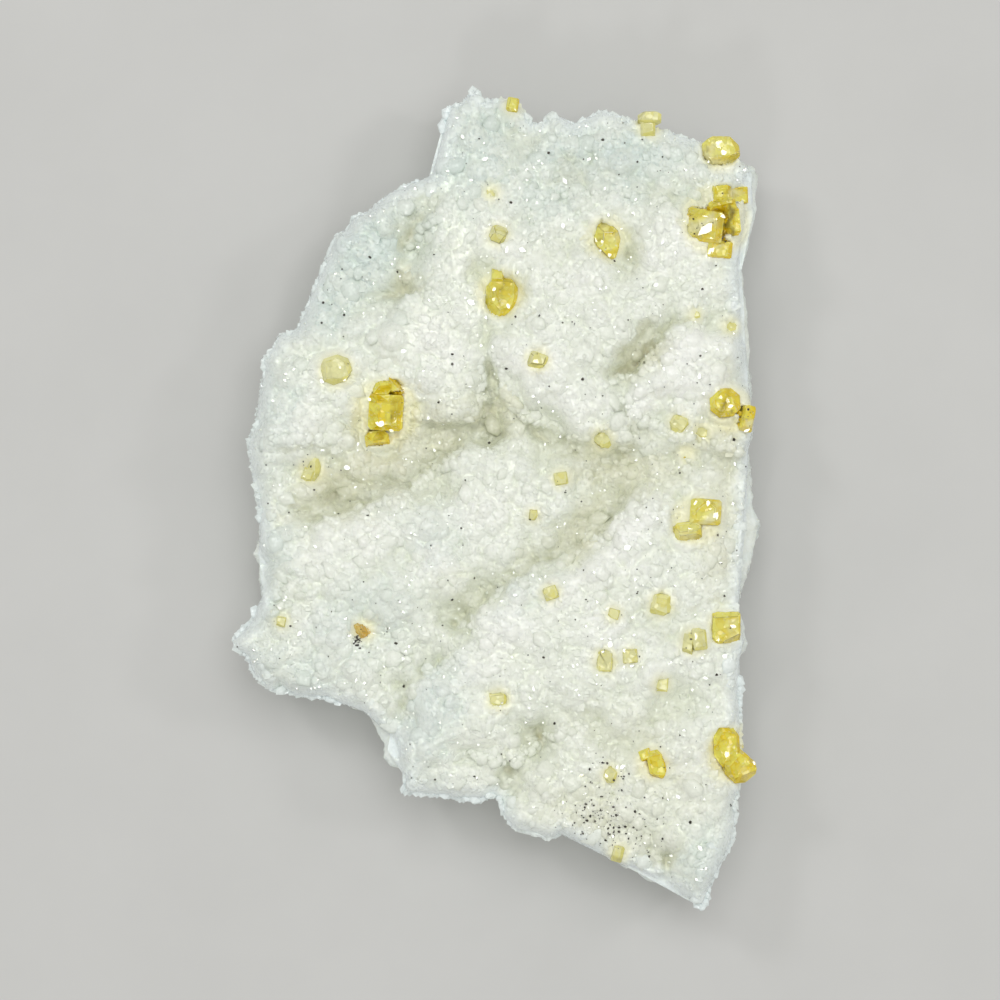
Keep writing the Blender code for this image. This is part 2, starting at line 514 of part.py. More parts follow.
def seat(x, y, turn, lean_east, lean_north, rise):
    """Where a crystal stands: turned, leaned and set on the crust at (x, y)."""
    z = float(crust_height(np.array([x]), np.array([y]))[0]) + rise
    place = Matrix.Translation(Vector((x, y, z)) * MM)
    lean = (Matrix.Rotation(math.radians(lean_east), 4, "Y")
            @ Matrix.Rotation(-math.radians(lean_north), 4, "X"))
    return place @ lean @ Matrix.Rotation(math.radians(turn), 4, "Z")


def join_by_union(obj, others):
    """Grows the other crystals into the first, as one closed body."""
    for other in others:
        union = obj.modifiers.new("grown_" + other.name, "BOOLEAN")
        union.operation = "UNION"
        union.object = other
        other.hide_render = True
        other.display_type = "WIRE"


def make_barites(mat, sockets):
    """Every barite node, and a slightly larger cutter for the socket of each crystal."""
    for name, crystals in BARITES.items():
        parts = []
        for number, (x, y, size, habit, turn, east, north, rise) in enumerate(crystals):
            frame = seat(x, y, turn, east, north, rise)
            part_name = name if number == 0 else f"{name}_twin_{number}"
            parts.append(crystal_object(part_name, size, habit, frame, 0.0, mat))
            cutter = crystal_object(f"socket_{part_name}", size, habit, frame, GAP, mat)
            cutter.hide_render = True
            cutter.display_type = "WIRE"
            bpy.context.scene.collection.objects.unlink(cutter)
            sockets.objects.link(cutter)
        join_by_union(parts[0], parts[1:])


def sink_sockets(slab, sockets):
    """Cuts every socket into the slab, and drops slivers of crust that come loose."""
    cut = slab.modifiers.new("sockets", "BOOLEAN")
    cut.operation = "DIFFERENCE"
    cut.operand_type = "COLLECTION"
    cut.collection = sockets
    bpy.context.view_layer.update()
    depsgraph = bpy.context.evaluated_depsgraph_get()
    bm = bmesh.new()
    bm.from_mesh(slab.evaluated_get(depsgraph).to_mesh())
    bmesh.ops.triangulate(bm, faces=bm.faces)
    bodies = []
    unseen = set(bm.verts)
    while unseen:
        body = {unseen.pop()}
        front = list(body)
        while front:
            for edge in front.pop().link_edges:
                for vert in edge.verts:
                    if vert in unseen:
                        unseen.discard(vert)
                        body.add(vert)
                        front.append(vert)
        bodies.append(body)
    largest = max(bodies, key=len)
    bmesh.ops.delete(bm, geom=[v for v in bm.verts if v not in largest], context="VERTS")
    slab.modifiers.remove(cut)
    bm.to_mesh(slab.data)
    bm.free()


def main():
    for obj in list(bpy.data.objects):
        bpy.data.objects.remove(obj)
    quartz = principled("milky_quartz", (0.86, 0.87, 0.80), 0.35)
    golden = principled("golden_barite", (0.72, 0.58, 0.09), 0.15)
    sockets = bpy.data.collections.new("sockets")
    bpy.context.scene.collection.children.link(sockets)
    slab = make_slab(quartz)
    make_barites(golden, sockets)
    sink_sockets(slab, sockets)


main()
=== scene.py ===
# %% [markdown]
# # A slab of white quartz druse with golden barite crystals
#
# Hot water once ran through a crack in rock and lined it with quartz: thousands of
# small milky crystal heads, side by side over lumps and hollows. Such a lining is called
# a druse. The same water later left barite in clear golden blocks, and last of all a
# dusting of dark sulfide grains. The piece was broken out and trimmed to a slab.
#
# The solids of the object are loaded first, and everything is made around them. Tables
# of places are in millimetres, with +X east and +Y north; meshes are in metres.

# %% The solids that everything is made around
import json
import math
import bmesh
import bpy
import numpy as np
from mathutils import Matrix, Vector

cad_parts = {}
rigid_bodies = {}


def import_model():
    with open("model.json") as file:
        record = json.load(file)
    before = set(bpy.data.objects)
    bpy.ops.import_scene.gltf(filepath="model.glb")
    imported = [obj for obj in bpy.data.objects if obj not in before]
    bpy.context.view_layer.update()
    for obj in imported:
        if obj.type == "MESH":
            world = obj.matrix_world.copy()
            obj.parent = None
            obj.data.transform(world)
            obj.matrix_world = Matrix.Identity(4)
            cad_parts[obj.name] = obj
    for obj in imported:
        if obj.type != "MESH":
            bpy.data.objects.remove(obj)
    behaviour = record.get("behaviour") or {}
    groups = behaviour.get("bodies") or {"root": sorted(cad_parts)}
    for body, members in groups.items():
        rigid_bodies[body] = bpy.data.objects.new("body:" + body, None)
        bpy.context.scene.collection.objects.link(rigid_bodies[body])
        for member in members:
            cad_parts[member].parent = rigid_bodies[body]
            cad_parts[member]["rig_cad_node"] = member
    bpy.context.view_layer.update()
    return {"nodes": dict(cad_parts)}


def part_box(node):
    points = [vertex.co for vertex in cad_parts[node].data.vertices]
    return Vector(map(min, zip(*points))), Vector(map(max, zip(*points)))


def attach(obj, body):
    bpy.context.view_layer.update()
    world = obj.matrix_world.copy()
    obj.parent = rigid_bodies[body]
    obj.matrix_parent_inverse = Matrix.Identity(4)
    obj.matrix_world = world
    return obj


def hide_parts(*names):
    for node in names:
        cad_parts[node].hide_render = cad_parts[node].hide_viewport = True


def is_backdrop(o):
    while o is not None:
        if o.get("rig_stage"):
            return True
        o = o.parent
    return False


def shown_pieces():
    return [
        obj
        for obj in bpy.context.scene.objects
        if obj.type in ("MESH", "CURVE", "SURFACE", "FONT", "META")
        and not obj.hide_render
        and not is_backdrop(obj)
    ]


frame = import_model()

MM = 0.001
barite_nodes = sorted(name for name in frame["nodes"] if name.startswith("barite"))
print("barite nodes:", len(barite_nodes))

# %% [markdown]
# ## The outline
#
# The trimmed slab has a long straight break on the east, a notch in the southwest and a
# tongue in the north. It could be drawn as a smooth curve, but rock breaks in straight
# runs, so it is a ring of corners. Each corner also says how the edge looks there: a
# positive number is how many millimetres of broken side show outside the crust, and a
# negative one is how far the crust hangs over the side.

# %% Corners of the outline, clockwise from the north tip: (east, north, break)
OUTLINE = [
    # north
    (-3.7, 56, -1), (-2.2, 54.5, -1), (1.7, 54.6, -1), (4.5, 51.2, -1), (6, 51.4, -1),
    (6.8, 52.7, -1), (10.1, 51.2, -1), (14, 53, -1), (30.3, 47.6, -0.6), (34, 46.4, 1.2),
    # east
    (35.2, 45.7, 2), (35.8, 40.6, 2.5), (33.5, 31.8, 1.2), (34.8, 22.9, 2), (35.2, 10.2, 0.9),
    (34.6, 7.2, 0.9), (36.2, -5.1, 3.2), (33.5, -14.8, 1.2), (34.5, -19.9, 1.6), (33, -21.9, 0.6),
    (32.6, -38.9, 0),
    # southeast and south
    (32.1, -41.6, 0), (31.8, -46.2, 0), (29, -51.6, 0.2), (27.7, -55.8, 0.4), (20, -52.2, 1.3),
    (8, -45.8, 0.6),
    (6.4, -46.1, -0.6), (1.8, -44.8, -0.8), (0.6, -43.1, -0.8), (-0.2, -40.7, -0.4),
    (-1, -40.3, 0.2), (-2.9, -41.2, 0.5), (-13.3, -39.9, 0.4),
    # southwest
    (-13.7, -37.9, 1), (-16.4, -36, 2.4), (-16, -33.8, 2.2), (-19, -29.2, 0.7), (-24, -27.1, 0.4),
    (-31.3, -26, -0.6), (-34, -23.3, 0.4), (-34.5, -21.5, 0.4), (-36.1, -20.2, 0.2),
    (-36.5, -19, 0), (-35.2, -17.8, -0.2),
    # west and northwest
    (-33.9, -16.7, 0), (-33.5, -13.6, 1.2), (-34.6, -7.4, 2), (-32.9, -2, 0.2), (-34.4, 7.9, -0.8),
    (-33.3, 10.6, -0.8), (-32.2, 17.6, -0.8), (-32.5, 19.1, -0.8), (-31, 20.6, -0.8),
    (-30.2, 22.3, -0.8), (-27.7, 23.2, -0.8), (-22.3, 36.2, -0.8), (-20.9, 36.7, -0.8),
    (-19.8, 38.7, -0.8), (-18, 39.2, -0.6), (-15.9, 41.1, -0.2), (-9.8, 44.6, 0.7),
    (-7.2, 53.5, 0.4), (-4.9, 54.2, -0.6),
]
ring = np.array(OUTLINE + OUTLINE[:1], float)     # it ends where it starts
print("outline corners:", len(OUTLINE))

# %% [markdown]
# ## How far a place lies from a path
#
# The crust rounds over at its edge and drops beside its ledges, so each place has to know
# how far away the outline or a ledge is. Both are paths of straight runs. The distance to
# a run is worked out for all places at once, and the nearest run wins.

# %% Distance to a path of straight runs
def along_path(corners):
    """The lengths of a path's runs, and how far along the path each corner is."""
    steps = np.hypot(*np.diff(corners[:, :2], axis=0).T)
    return steps, np.concatenate([[0.0], np.cumsum(steps)])


def beside_path(x, y, corners):
    """The distance of each place to the path, how far to the left of the nearest run it
    lies, and how far along the path its nearest point is.

    Formula: a place has a part along the run and a part across it. The part along is
    kept between the run's ends; what that cut off and the part across give the distance.
    """
    nearest = np.full(np.shape(x), np.inf)
    side, walked = np.zeros(np.shape(x)), np.zeros(np.shape(x))
    for a, b, step, start in zip(corners[:-1], corners[1:], *along_path(corners)):
        run = b - a
        along = ((x - a[0]) * run[0] + (y - a[1]) * run[1]) / step
        across = ((y - a[1]) * run[0] - (x - a[0]) * run[1]) / step
        kept = np.clip(along, 0.0, step)
        away = np.hypot(along - kept, across)
        closer = away < nearest
        nearest = np.where(closer, away, nearest)
        side = np.where(closer, across, side)
        walked = np.where(closer, start + kept, walked)
    return nearest, side, walked


run_ends = along_path(ring)[1]
perimeter = run_ends[-1]
print("the outline is", round(perimeter, 1), "mm round")


# %% Inside the edge
def inside_outline(x, y):
    """Whether a place is inside the outline: a line to the east crosses it an odd number
    of times."""
    crossings = np.zeros(np.shape(x), dtype=int)
    for a, b in zip(ring[:-1], ring[1:]):
        if a[1] != b[1]:
            spans = (a[1] > y) != (b[1] > y)
            crossings += spans & (x < a[0] + (y - a[1]) / (b[1] - a[1]) * (b[0] - a[0]))
    return crossings % 2 == 1


def crust_inset(x, y):
    """How far a place lies inside the crust's own edge, and the break at the outline's
    nearest point: the distance to the outline less the part that is broken off."""
    away, _, walked = beside_path(x, y, ring)
    at_break = np.interp(walked, run_ends, ring[:, 2])
    return away - np.clip(at_break, 0.0, None), at_break


def on_crust(x, y, margin):
    """Whether a place is on the crust and further than the margin inside its edge."""
    return inside_outline(x, y) & (crust_inset(x, y)[0] > margin)


# %% [markdown]
# ## The relief of the crust
#
# The druse grew over rubble, so it swells into hummocks and sinks into hollows, and higher
# parts end in ledges. Sculpting would be one way; here each hummock is a dome with a place,
# a radius and a top. The domes are blended by a high power mean, which keeps their tops and
# makes narrow valleys. Hollows are sunk in as ovals, and a ledge is a path.

# %% Hummocks of the crust: (east, north, radius, top above the flat back)
HUMMOCKS = [
    # north tongue
    (-3.5, 54, 2, 15.8), (-6, 50, 2.5, 16.6), (-3, 48.5, 3.5, 17), (-6.5, 45, 3.5, 17.2),
    (-1.5, 45, 3.5, 17.4), (2, 52.5, 2, 16.4), (6, 50, 1.5, 15.4), (-9.5, 43, 2.5, 16.4),
    # north slope
    (9.5, 50.5, 2.5, 15.8), (14, 50.5, 2.5, 16.2), (19, 49, 2.5, 15.8), (25, 47, 2.5, 15.8),
    (32, 44.5, 3, 16.6), (8, 45, 4.5, 17.2), (15, 46, 4.5, 17), (21, 45, 4, 17), (27, 44, 4, 17.2),
    (3, 42, 4.5, 17.8), (11, 38.5, 5, 18), (16.5, 40, 3.5, 17.6), (5.5, 35.5, 4, 18.4),
    # north ridge
    (-4, 41, 3, 18.4), (-7.5, 38.5, 2.5, 18.4), (-6, 34.5, 4, 19), (-1.5, 37, 4, 18.8),
    (2, 33, 3.5, 18.8),
    # northeast dome
    (22.5, 35.5, 4.5, 19.8), (27, 33.5, 4.5, 19.4), (21, 32, 3, 19.2), (30, 37, 4, 18.6),
    (32, 32, 2.5, 17.6), (32, 27, 2.5, 17.2),
    # northwest spur
    (-16, 37.5, 3, 18.6), (-20, 34.5, 3, 18), (-17, 32, 3.5, 18.2), (-21.5, 30.5, 2.5, 17.4),
    (-24, 27.5, 2.5, 16.8), (-13.5, 40.5, 2.5, 17), (-19, 38, 2, 17), (-19.5, 27, 2.5, 17),
    # west shoulder
    (-8, 29.5, 4, 19.6), (-4.5, 25.5, 4, 19.8), (-9.5, 23.5, 5, 20.2), (-14, 22, 4.5, 19.6),
    (-6, 18, 4.5, 19.6), (-6.5, 13.5, 3.5, 19.2), (-10.5, 17.5, 4.5, 19), (-15.5, 18, 4, 18.4),
    (-20, 21, 4.5, 18.2), (-2.5, 21, 2, 17.2),
    # west edge
    (-28.5, 9, 4, 19.4), (-27, 15.5, 4.5, 18.8), (-22, 17, 4, 18.4), (-30.5, 13.5, 3, 18),
    (-31, 6.5, 3, 17.6), (-24, 13.5, 3.5, 18.6), (-21, 13, 2.5, 17.8), (-29.5, 20, 2.5, 17),
    (-25, 22, 3, 17.4), (-23.5, 8, 3, 17.4),
    # centre plateau
    (1.5, 20, 3.5, 20), (6, 23.5, 4.5, 20.6), (7.5, 17, 5, 20.8), (12, 13.5, 4.5, 20.2),
    (13.5, 23, 5.5, 20.8), (11.5, 29, 5, 20), (19, 27, 4.5, 19.8), (6, 29.5, 3.5, 19),
    (16.5, 10, 3, 19.2), (25.5, 28.5, 4.5, 19.2), (30, 28.5, 3, 18),
    # east plateau
    (24.5, 21, 3.5, 20.8), (21, 16.5, 3.5, 20.2), (27, 16, 4, 20.8), (19, 13, 2.5, 19.6),
    (30, 20, 3, 20), (23.5, 8, 2, 18.6), (30.5, 8, 3, 18.8), (25.5, 11.5, 3, 19),
    (32, 13, 2.5, 18.2), (20.5, 8, 2.5, 17.8),
    # west valley
    (-14, 4, 2, 15.6), (-10, 6.5, 2, 15.4), (-19, 4.5, 2, 15.4), (-17, 0, 2, 15.6),
    (-25.5, 1.5, 2.5, 16.4), (-29.5, 0.5, 2.5, 16.6), (-31, -3, 2.5, 16.8), (-21, 8, 2, 16.2),
    (-12, 9.5, 2, 15.8), (-4, 10, 2, 15.6), (-8, 3.5, 2, 15.4), (1, 13, 3, 17.4),
    (-1.5, 15.5, 2, 17),
    # east valley
    (12, -5, 2, 17.6), (10, -0.5, 2.5, 16.8), (14, -1.5, 2, 16.6), (16.5, 4, 2, 15.4),
    (11.5, 4, 2.5, 16.6), (8, 6, 2, 16.6), (27, 2.5, 4, 17.6), (32.5, 2.5, 2.5, 16.4),
    (21.5, 2.5, 3, 17),
    # southwest plateau
    (-4, 5, 3, 18.6), (0.5, 3, 4.5, 19.4), (5.5, 0, 4.5, 19.2), (-2.5, -1.5, 4.5, 19.6),
    (-10, -3.5, 4, 19.4), (-13.5, -0.5, 2.5, 18.6), (-17, -5.5, 4, 19), (-8, -9, 5, 19.6),
    (0, -6.5, 5, 19.4), (-22, -5.5, 3.5, 18.4), (-21, -11, 4.5, 19), (-27, -10, 4, 18.4),
    (-29, -5.5, 3, 17.6), (-14, -13.5, 5, 19.4), (-29.5, -15, 4, 18), (-23, -17.5, 5, 18.8),
    (6, -6, 3, 18.2), (8, 2.5, 2.5, 18), (3, 8, 2.5, 17.4),
    # southwest edge
    (-31, -20.5, 4, 17.6), (-25.5, -23, 3.5, 17.6), (-33.5, -19, 2.5, 16.8),
    (-19, -22.5, 4.5, 18.4), (-21, -26.5, 2, 16.6), (-16, -27.5, 3, 17.4), (-13.5, -20.5, 4, 18.4),
    (-10.5, -17, 3, 18.4),
    # diagonal ridge
    (20.5, -2, 4, 20.4), (17.5, -5.5, 3.5, 20.6), (13.5, -10, 3.5, 20.4), (8, -12.5, 4, 20),
    (3, -12, 3, 19.6), (0.5, -17, 4.5, 20.2), (6, -18.5, 5, 20.2), (13.5, -17, 6, 20.2),
    (20.5, -10, 5.5, 20.2), (-7, -19.5, 2, 18.4), (-2.5, -22.5, 4, 19.4), (-8.5, -27, 4, 19.8),
    (-9.5, -33, 4, 19.2), (-11.5, -38, 2, 17.8), (-2.5, -30, 4, 19.2), (3.5, -25.5, 4.5, 19.6),
    # east field
    (32, -3, 3.5, 17.6), (25.5, -3, 3.5, 18.4), (32.5, -9.5, 3, 17.4), (27, -8, 5, 19.2),
    (25.5, -13.5, 4.5, 19.4), (32, -15, 2.5, 17.6), (32, -21.5, 3, 17.6), (11, -24.5, 5, 19.6),
    (19, -21.5, 5.5, 19.6), (27, -20.5, 5, 19),
    # south field
    (-6.5, -37, 2.5, 17.4), (-3.5, -38, 2.5, 16.6), (0.5, -33, 3, 17.8), (9.5, -31, 3, 18.2),
    (17, -29, 3, 19.4), (12, -36, 4, 18.6), (7, -38.5, 3.5, 18.2), (3, -42.5, 2.5, 17.2),
    (8, -43, 3.5, 17.6), (19, -36, 2.5, 18.6), (24.5, -33, 4.5, 19.2), (30, -29, 3.5, 18.4),
    (19, -40.5, 4.5, 18.4), (13.5, -42, 4, 18), (27, -39, 4.5, 18.6), (24.5, -44.5, 4, 17.8),
    (30, -44.5, 2.5, 17.6), (17, -46.5, 3, 17), (12, -45.5, 3, 16.8), (20.5, -49.5, 2, 16),
    (27.5, -49, 4, 18.6), (26.5, -52.5, 2, 16.8),
]
print("hummocks:", len(HUMMOCKS))

# %% Hollows: (east, north, half length, half width, turn in degrees, depth, lip)
HOLLOWS = [
    (20.0, 19.3, 2.2, 1.0, 50, 2.7, 1), (22.9, 23.4, 2.2, 0.7, 45, 1.0, 1),
    (16.7, 17.1, 2.4, 1.0, 20, 1.4, 1), (5.5, -32.5, 0.6, 1.5, 0, 1.6, 0),
    (1, -36.5, 0.8, 0.8, 0, 1.6, 0), (22.5, -49, 0.6, 1.6, 0, 1.6, 0),
    (22, -51.5, 1, 0.8, 0, 1.2, 0), (-13, 28.5, 1.2, 0.8, 0, 1, 0), (-12, 36, 0.8, 1.6, 0, 0.8, 0),
    (-15.5, 27.5, 1.6, 0.6, 0, 0.8, 0), (0.5, 51.5, 0.7, 1.9, 0, 0.8, 0),
    (17.5, 33, 1.9, 0.7, -35, 1, 0), (-5.5, 9.5, 1.6, 0.8, 0, 0.8, 0),
    (-1.5, 12, 1.9, 0.8, -40, 1, 0), (-23, 0.5, 2.2, 0.8, 30, 1.2, 0),
    (17, 6, 1.5, 0.7, -30, 0.8, 0), (-2, 23, 0.7, 3, 0, 1, 0), (5.5, 8.5, 2.4, 0.6, -35, 1, 0),
    (0, -12, 3, 0.7, 40, 0.8, 0), (15, -5, 0.7, 1.6, 0, 0.8, 0), (-8.5, -22, 0.6, 1.2, 0, 0.4, 0),
    (-6.2, -16.8, 0.5, 0.5, 0, 1.2, 0),
]
print("hollows:", len(HOLLOWS))

# %% Ledges: (drop, how far the shade reaches, corners), with the low side on the left
LEDGES = [
    (1.5, 2.6, [(17.5, 6.2), (12.9, 7.2), (5.9, 9.4), (0.6, 12.5), (-0.6, 16), (-1.6, 20)]),
    (1.2, 1.6, [(14.5, 16.5), (18.3, 17.6), (21.3, 20.9), (24, 24), (27, 24)]),
    (1.0, 2.2, [(33, 5.4), (30, 6.2), (24.4, 7.4), (19, 9.6), (16.5, 13)]),
    (1.0, 2.4, [(-2, 19.5), (-1.6, 13.6), (-3.2, 10.4), (-9.4, 10.2), (-13.5, 11.2)]),
    (1.0, 2.0, [(-21, 8.2), (-24, 7.4), (-31, 7.2)]),
    (1.2, 2.6, [(-28, -3.4), (-22, -1.8), (-13, 1.4), (-7, 6.4), (2.4, 8.6)]),
    (1.1, 2.4, [(-6, -17.4), (0.8, -11), (7, -7.8), (12.9, -4.8), (15.9, -1.8), (20, 0.4)]),
    (0.8, 1.8, [(-13.2, -29.4), (-12.2, -24.8), (-4.2, -18.8)]),
    (0.9, 1.6, [(-14.5, 26.2), (-12, 27.8), (-8.6, 30.6)]),
    (0.8, 1.6, [(-13.6, 33.8), (-11, 37.4), (-7, 41)]),
    (0.4, 2.2, [(5, 40.8), (8.5, 42.6), (13, 42)]), (0.4, 2.2, [(16, 42.4), (21, 41.4), (25, 39.4)]),
    (0.6, 1.8, [(-4, -33), (1, -35), (6, -31.4), (13, -29)]),
]
print("ledges:", len(LEDGES))

# %% [markdown]
# ## Wandering
#
# Nothing on a mineral is drawn with a compass. Where a dome, ledge or patch would come out
# too regular, its place is first pushed aside by a slow wavy field.

# %% A wavy field, and places in an oval
def wandering(x, y, size, seed):
    """A smooth field from about -1 to 1 with waves of about the given size: four crossed
    waves, each bent by the one before."""
    rng = np.random.default_rng(seed)
    bend = np.zeros(np.shape(x))
    total = np.zeros(np.shape(x))
    for turn in rng.uniform(0.0, 2.0 * math.pi, 4):
        along = (x * math.cos(turn) + y * math.sin(turn)) * 2.0 * math.pi / size
        bend = np.sin(along + 1.9 * bend + rng.uniform(0.0, 2.0 * math.pi))
        total += bend
    return total / 2.4


def aside(x, y, waves):
    """How far each place is pushed east and north by waves of (reach, size, seed). The
    push to the north takes the next seed."""
    return np.array([sum(reach * wandering(x, y, size, seed + step) for reach, size, seed in waves)
                     for step in (0, 1)])


def in_oval(x, y, east, north, half_length, half_width, turn):
    """How far along and across an oval each place lies, as shares of its half sizes."""
    c, s = math.cos(math.radians(turn)), math.sin(math.radians(turn))
    along = ((x - east) * c + (y - north) * s) / half_length
    across = ((y - north) * c - (x - east) * s) / half_width
    return along, across


# %% [markdown]
# ## The relief as a map
#
# Thousands of grains will ask for the height of the crust, so the relief is worked out
# once on a square map, and a place between four map points takes a mix of them. Blurred
# copies of the map show what lies below its surroundings, where stain and painted shade gather.

# %% The map, and how to read and blur it
MAP_STEP = 0.25
map_east = np.arange(-40.0, 40.01, MAP_STEP)
map_north = np.arange(-60.0, 60.01, MAP_STEP)
map_x, map_y = np.meshgrid(map_east, map_north)
print("map points:", map_x.size)


def read_map(values, x, y):
    """The map's value between its four nearest points, mixed by how near each is."""
    column = np.clip((x - map_east[0]) / MAP_STEP, 0.0, len(map_east) - 1.001)
    row = np.clip((y - map_north[0]) / MAP_STEP, 0.0, len(map_north) - 1.001)
    i, j = column.astype(int), row.astype(int)
    s, t = column - i, row - j
    low = values[j, i] * (1.0 - s) + values[j, i + 1] * s
    high = values[j + 1, i] * (1.0 - s) + values[j + 1, i + 1] * s
    return low * (1.0 - t) + high * t


def blurred(values, width):
    """Every map point as the bell-weighted mean of the points round it."""
    def bell(places):
        """Each place's share in each blurred place, along one axis."""
        weight = np.exp(-0.5 * ((places[:, None] - places[None, :]) / width) ** 2)
        return weight / weight.sum(axis=1, keepdims=True)
    return bell(map_north) @ values @ bell(map_east).T


# %% Domes, with the narrow creases between them partly grown over
BACK_LEVEL = 14.2           # crust level between the hummocks
HUMMOCK_SPREAD = 1.15       # a hummock's foot, as a multiple of its radius
HUMMOCK_BLEND = 8.0         # how sharply one hummock meets the next
DOME_POWER = 0.5            # half a ball; less is flatter on top
DOME_WAVES = [(0.35, 6.0, 15)]
CREASE_REACH = 1.5          # creases up to twice this width are partly grown over
CREASE_FILL = 0.8


def domes(x, y):
    """The hummocks' height: the eighth-power mean of the domes over the back level. A
    dome is flat on top and steep at its foot: a power of one less the squared distance."""
    x, y = (x, y) + aside(x, y, DOME_WAVES)
    total = np.zeros(np.shape(x))
    for east, north, radius, top in HUMMOCKS:
        away = ((x - east) ** 2 + (y - north) ** 2) / (HUMMOCK_SPREAD * radius) ** 2
        dome = (top - BACK_LEVEL) * np.clip(1.0 - away, 0.0, 1.0) ** DOME_POWER
        total += dome ** HUMMOCK_BLEND
    return BACK_LEVEL + total ** (1.0 / HUMMOCK_BLEND)


def closed_over(values, reach):
    """The map with narrow creases bridged: every point takes the highest value within
    reach, and then the lowest of those."""
    cells = int(round(reach / MAP_STEP))
    for pick in (np.maximum, np.minimum):
        wider = values
        for down in range(-cells, cells + 1):
            for right in range(-cells, cells + 1):
                if down * down + right * right <= cells * cells:
                    wider = pick(wider, np.roll(values, (down, right), axis=(0, 1)))
        values = wider
    return values


hummocks = domes(map_x, map_y)
creases = closed_over(hummocks, CREASE_REACH) - hummocks
print("deepest narrow crease:", round(float(creases.max()), 2), "mm")

# %% Hollows and ledges
LIP_RISE = 0.25             # width of the cliff along a hollow's lip
LEDGE_WAVES = [(0.4, 5.0, 25), (0.12, 1.7, 27)]
LEDGE_ENDS = 2.0            # a ledge fades out over this length at both ends
LEDGE_CLIFF = 0.35          # width of its cliff
LEDGE_RUNOUT = 2.2          # how far below the cliff the crust comes up again


def sunken(x, y):
    """The depth of the hollows: the sum of bells of two half widths each. A hollow with
    a lip starts in a cliff along the lip and rises slowly away from it, on one side."""
    depth_here = np.zeros(np.shape(x))
    edge = 0.4 * wandering(x, y, 1.7, 19)
    for *oval, depth, lip in HOLLOWS:
        along, across = in_oval(x, y, *oval)
        if lip:
            half_width = oval[3]
            beyond_lip = across * half_width + edge
            slope = np.exp(-np.clip(beyond_lip, 0.0, None) / half_width)
            cliff = np.clip(beyond_lip / LIP_RISE, 0.0, 1.0)
            depth_here += depth * cliff * slope * np.exp(-along ** 4)
        else:
            depth_here += depth * np.exp(-along ** 2 - across ** 2)
    return depth_here


def ledge_drop(x, y):
    """How far the crust drops beside its ledges, and how shaded it is there.

    Formula: with d the distance to the ledge, the drop is its height times e to the
    minus d over the run-out, on the low side alone; the shade is a bell of d.
    """
    x, y = (x, y) + aside(x, y, LEDGE_WAVES)
    drop, shade = np.zeros(np.shape(x)), np.zeros(np.shape(x))
    for height, reach, corners in LEDGES:
        corners = np.array(corners)
        nearest, side, walked = beside_path(x, y, corners)
        to_end = np.minimum(walked, along_path(corners)[1][-1] - walked)
        here = height * np.clip(to_end / LEDGE_ENDS, 0.0, 1.0)
        here = here * np.clip(0.5 + side / LEDGE_CLIFF, 0.0, 1.0)
        drop += here * np.exp(-nearest / LEDGE_RUNOUT)
        shade = np.maximum(shade, here * np.exp(-(nearest / reach) ** 2))
    return drop, shade


ledge_map, ledge_shade = ledge_drop(map_x, map_y)
relief = blurred(hummocks + CREASE_FILL * creases, 0.45) - sunken(map_x, map_y) - ledge_map
print("relief from", round(relief.min(), 2), "to", round(relief.max(), 2), "mm")

# %% [markdown]
# ## Beads on the hummocks
#
# On its hummocks, which are up to a centimetre wide, the crust is knobbly with rounded
# heads of quartz, like bubbles in foam. The beads of one size are squashed balls on a
# lattice, each pushed aside by chance; there are three sizes, and the highest bead shows.
# That is cheap for any number of beads, because a place looks only at the nine lattice
# cells round it, and the skin stays one surface.

# %% Beads on a jittered lattice
LATTICE = 256               # cells of chance numbers each way, used over again past that
CELL_EDGE = 0.05            # a bead stays this far inside its cell, in cells
LEAST_SINK, SINK = 0.15, 0.5        # how deep a bead is sunk, in radii, and what chance adds
SLANT = 0.5


def cells_round(u, v, cells):
    """The nine lattice cells round each place, one after another: each cell's corner and
    its own chance numbers."""
    column, row = np.floor(u).astype(int), np.floor(v).astype(int)
    for east in (-1, 0, 1):
        for north in (-1, 0, 1):
            here = cells[:, (column + east) % LATTICE, (row + north) % LATTICE]
            yield column + east, row + north, here


def bead_layer(x, y, spacing, low, high, squash, seed):
    """The highest bead's height over each place, in millimetres, and a number from 0 to 1
    that is that bead's own.

    Formula: height = squash * (root of (radius squared - distance squared) - sink *
    radius), where the distance is the mean of a round one and a six-sided one.
    """
    cells = np.random.default_rng(seed).random((6, LATTICE, LATTICE))
    u, v = x / spacing + LATTICE / 2, y / spacing + LATTICE / 2
    highest, own = np.full(np.shape(x), -1.0), np.zeros(np.shape(x))
    for column, row, (east, north, size, sink, turn, lean) in cells_round(u, v, cells):
        du = (u - (column + CELL_EDGE + (1.0 - 2.0 * CELL_EDGE) * east)) * spacing
        dv = (v - (row + CELL_EDGE + (1.0 - 2.0 * CELL_EDGE) * north)) * spacing
        sides = [np.abs(du * np.cos(a) + dv * np.sin(a))
                 for a in (turn * 2.0 * math.pi + k * math.pi / 3.0 for k in range(3))]
        away = 0.5 * np.hypot(du, dv) + 0.5 * np.max(sides, axis=0)
        radius = low + (high - low) * size ** 2
        ball = np.sqrt(np.clip(radius ** 2 - away ** 2, 0.0, None))
        ball = ball - (LEAST_SINK + SINK * sink) * radius
        height = np.where(away < radius, squash * ball + SLANT * (lean - 0.5) * du, -1.0)
        own = np.where(height > highest, size, own)
        highest = np.maximum(highest, height)
    return highest, own


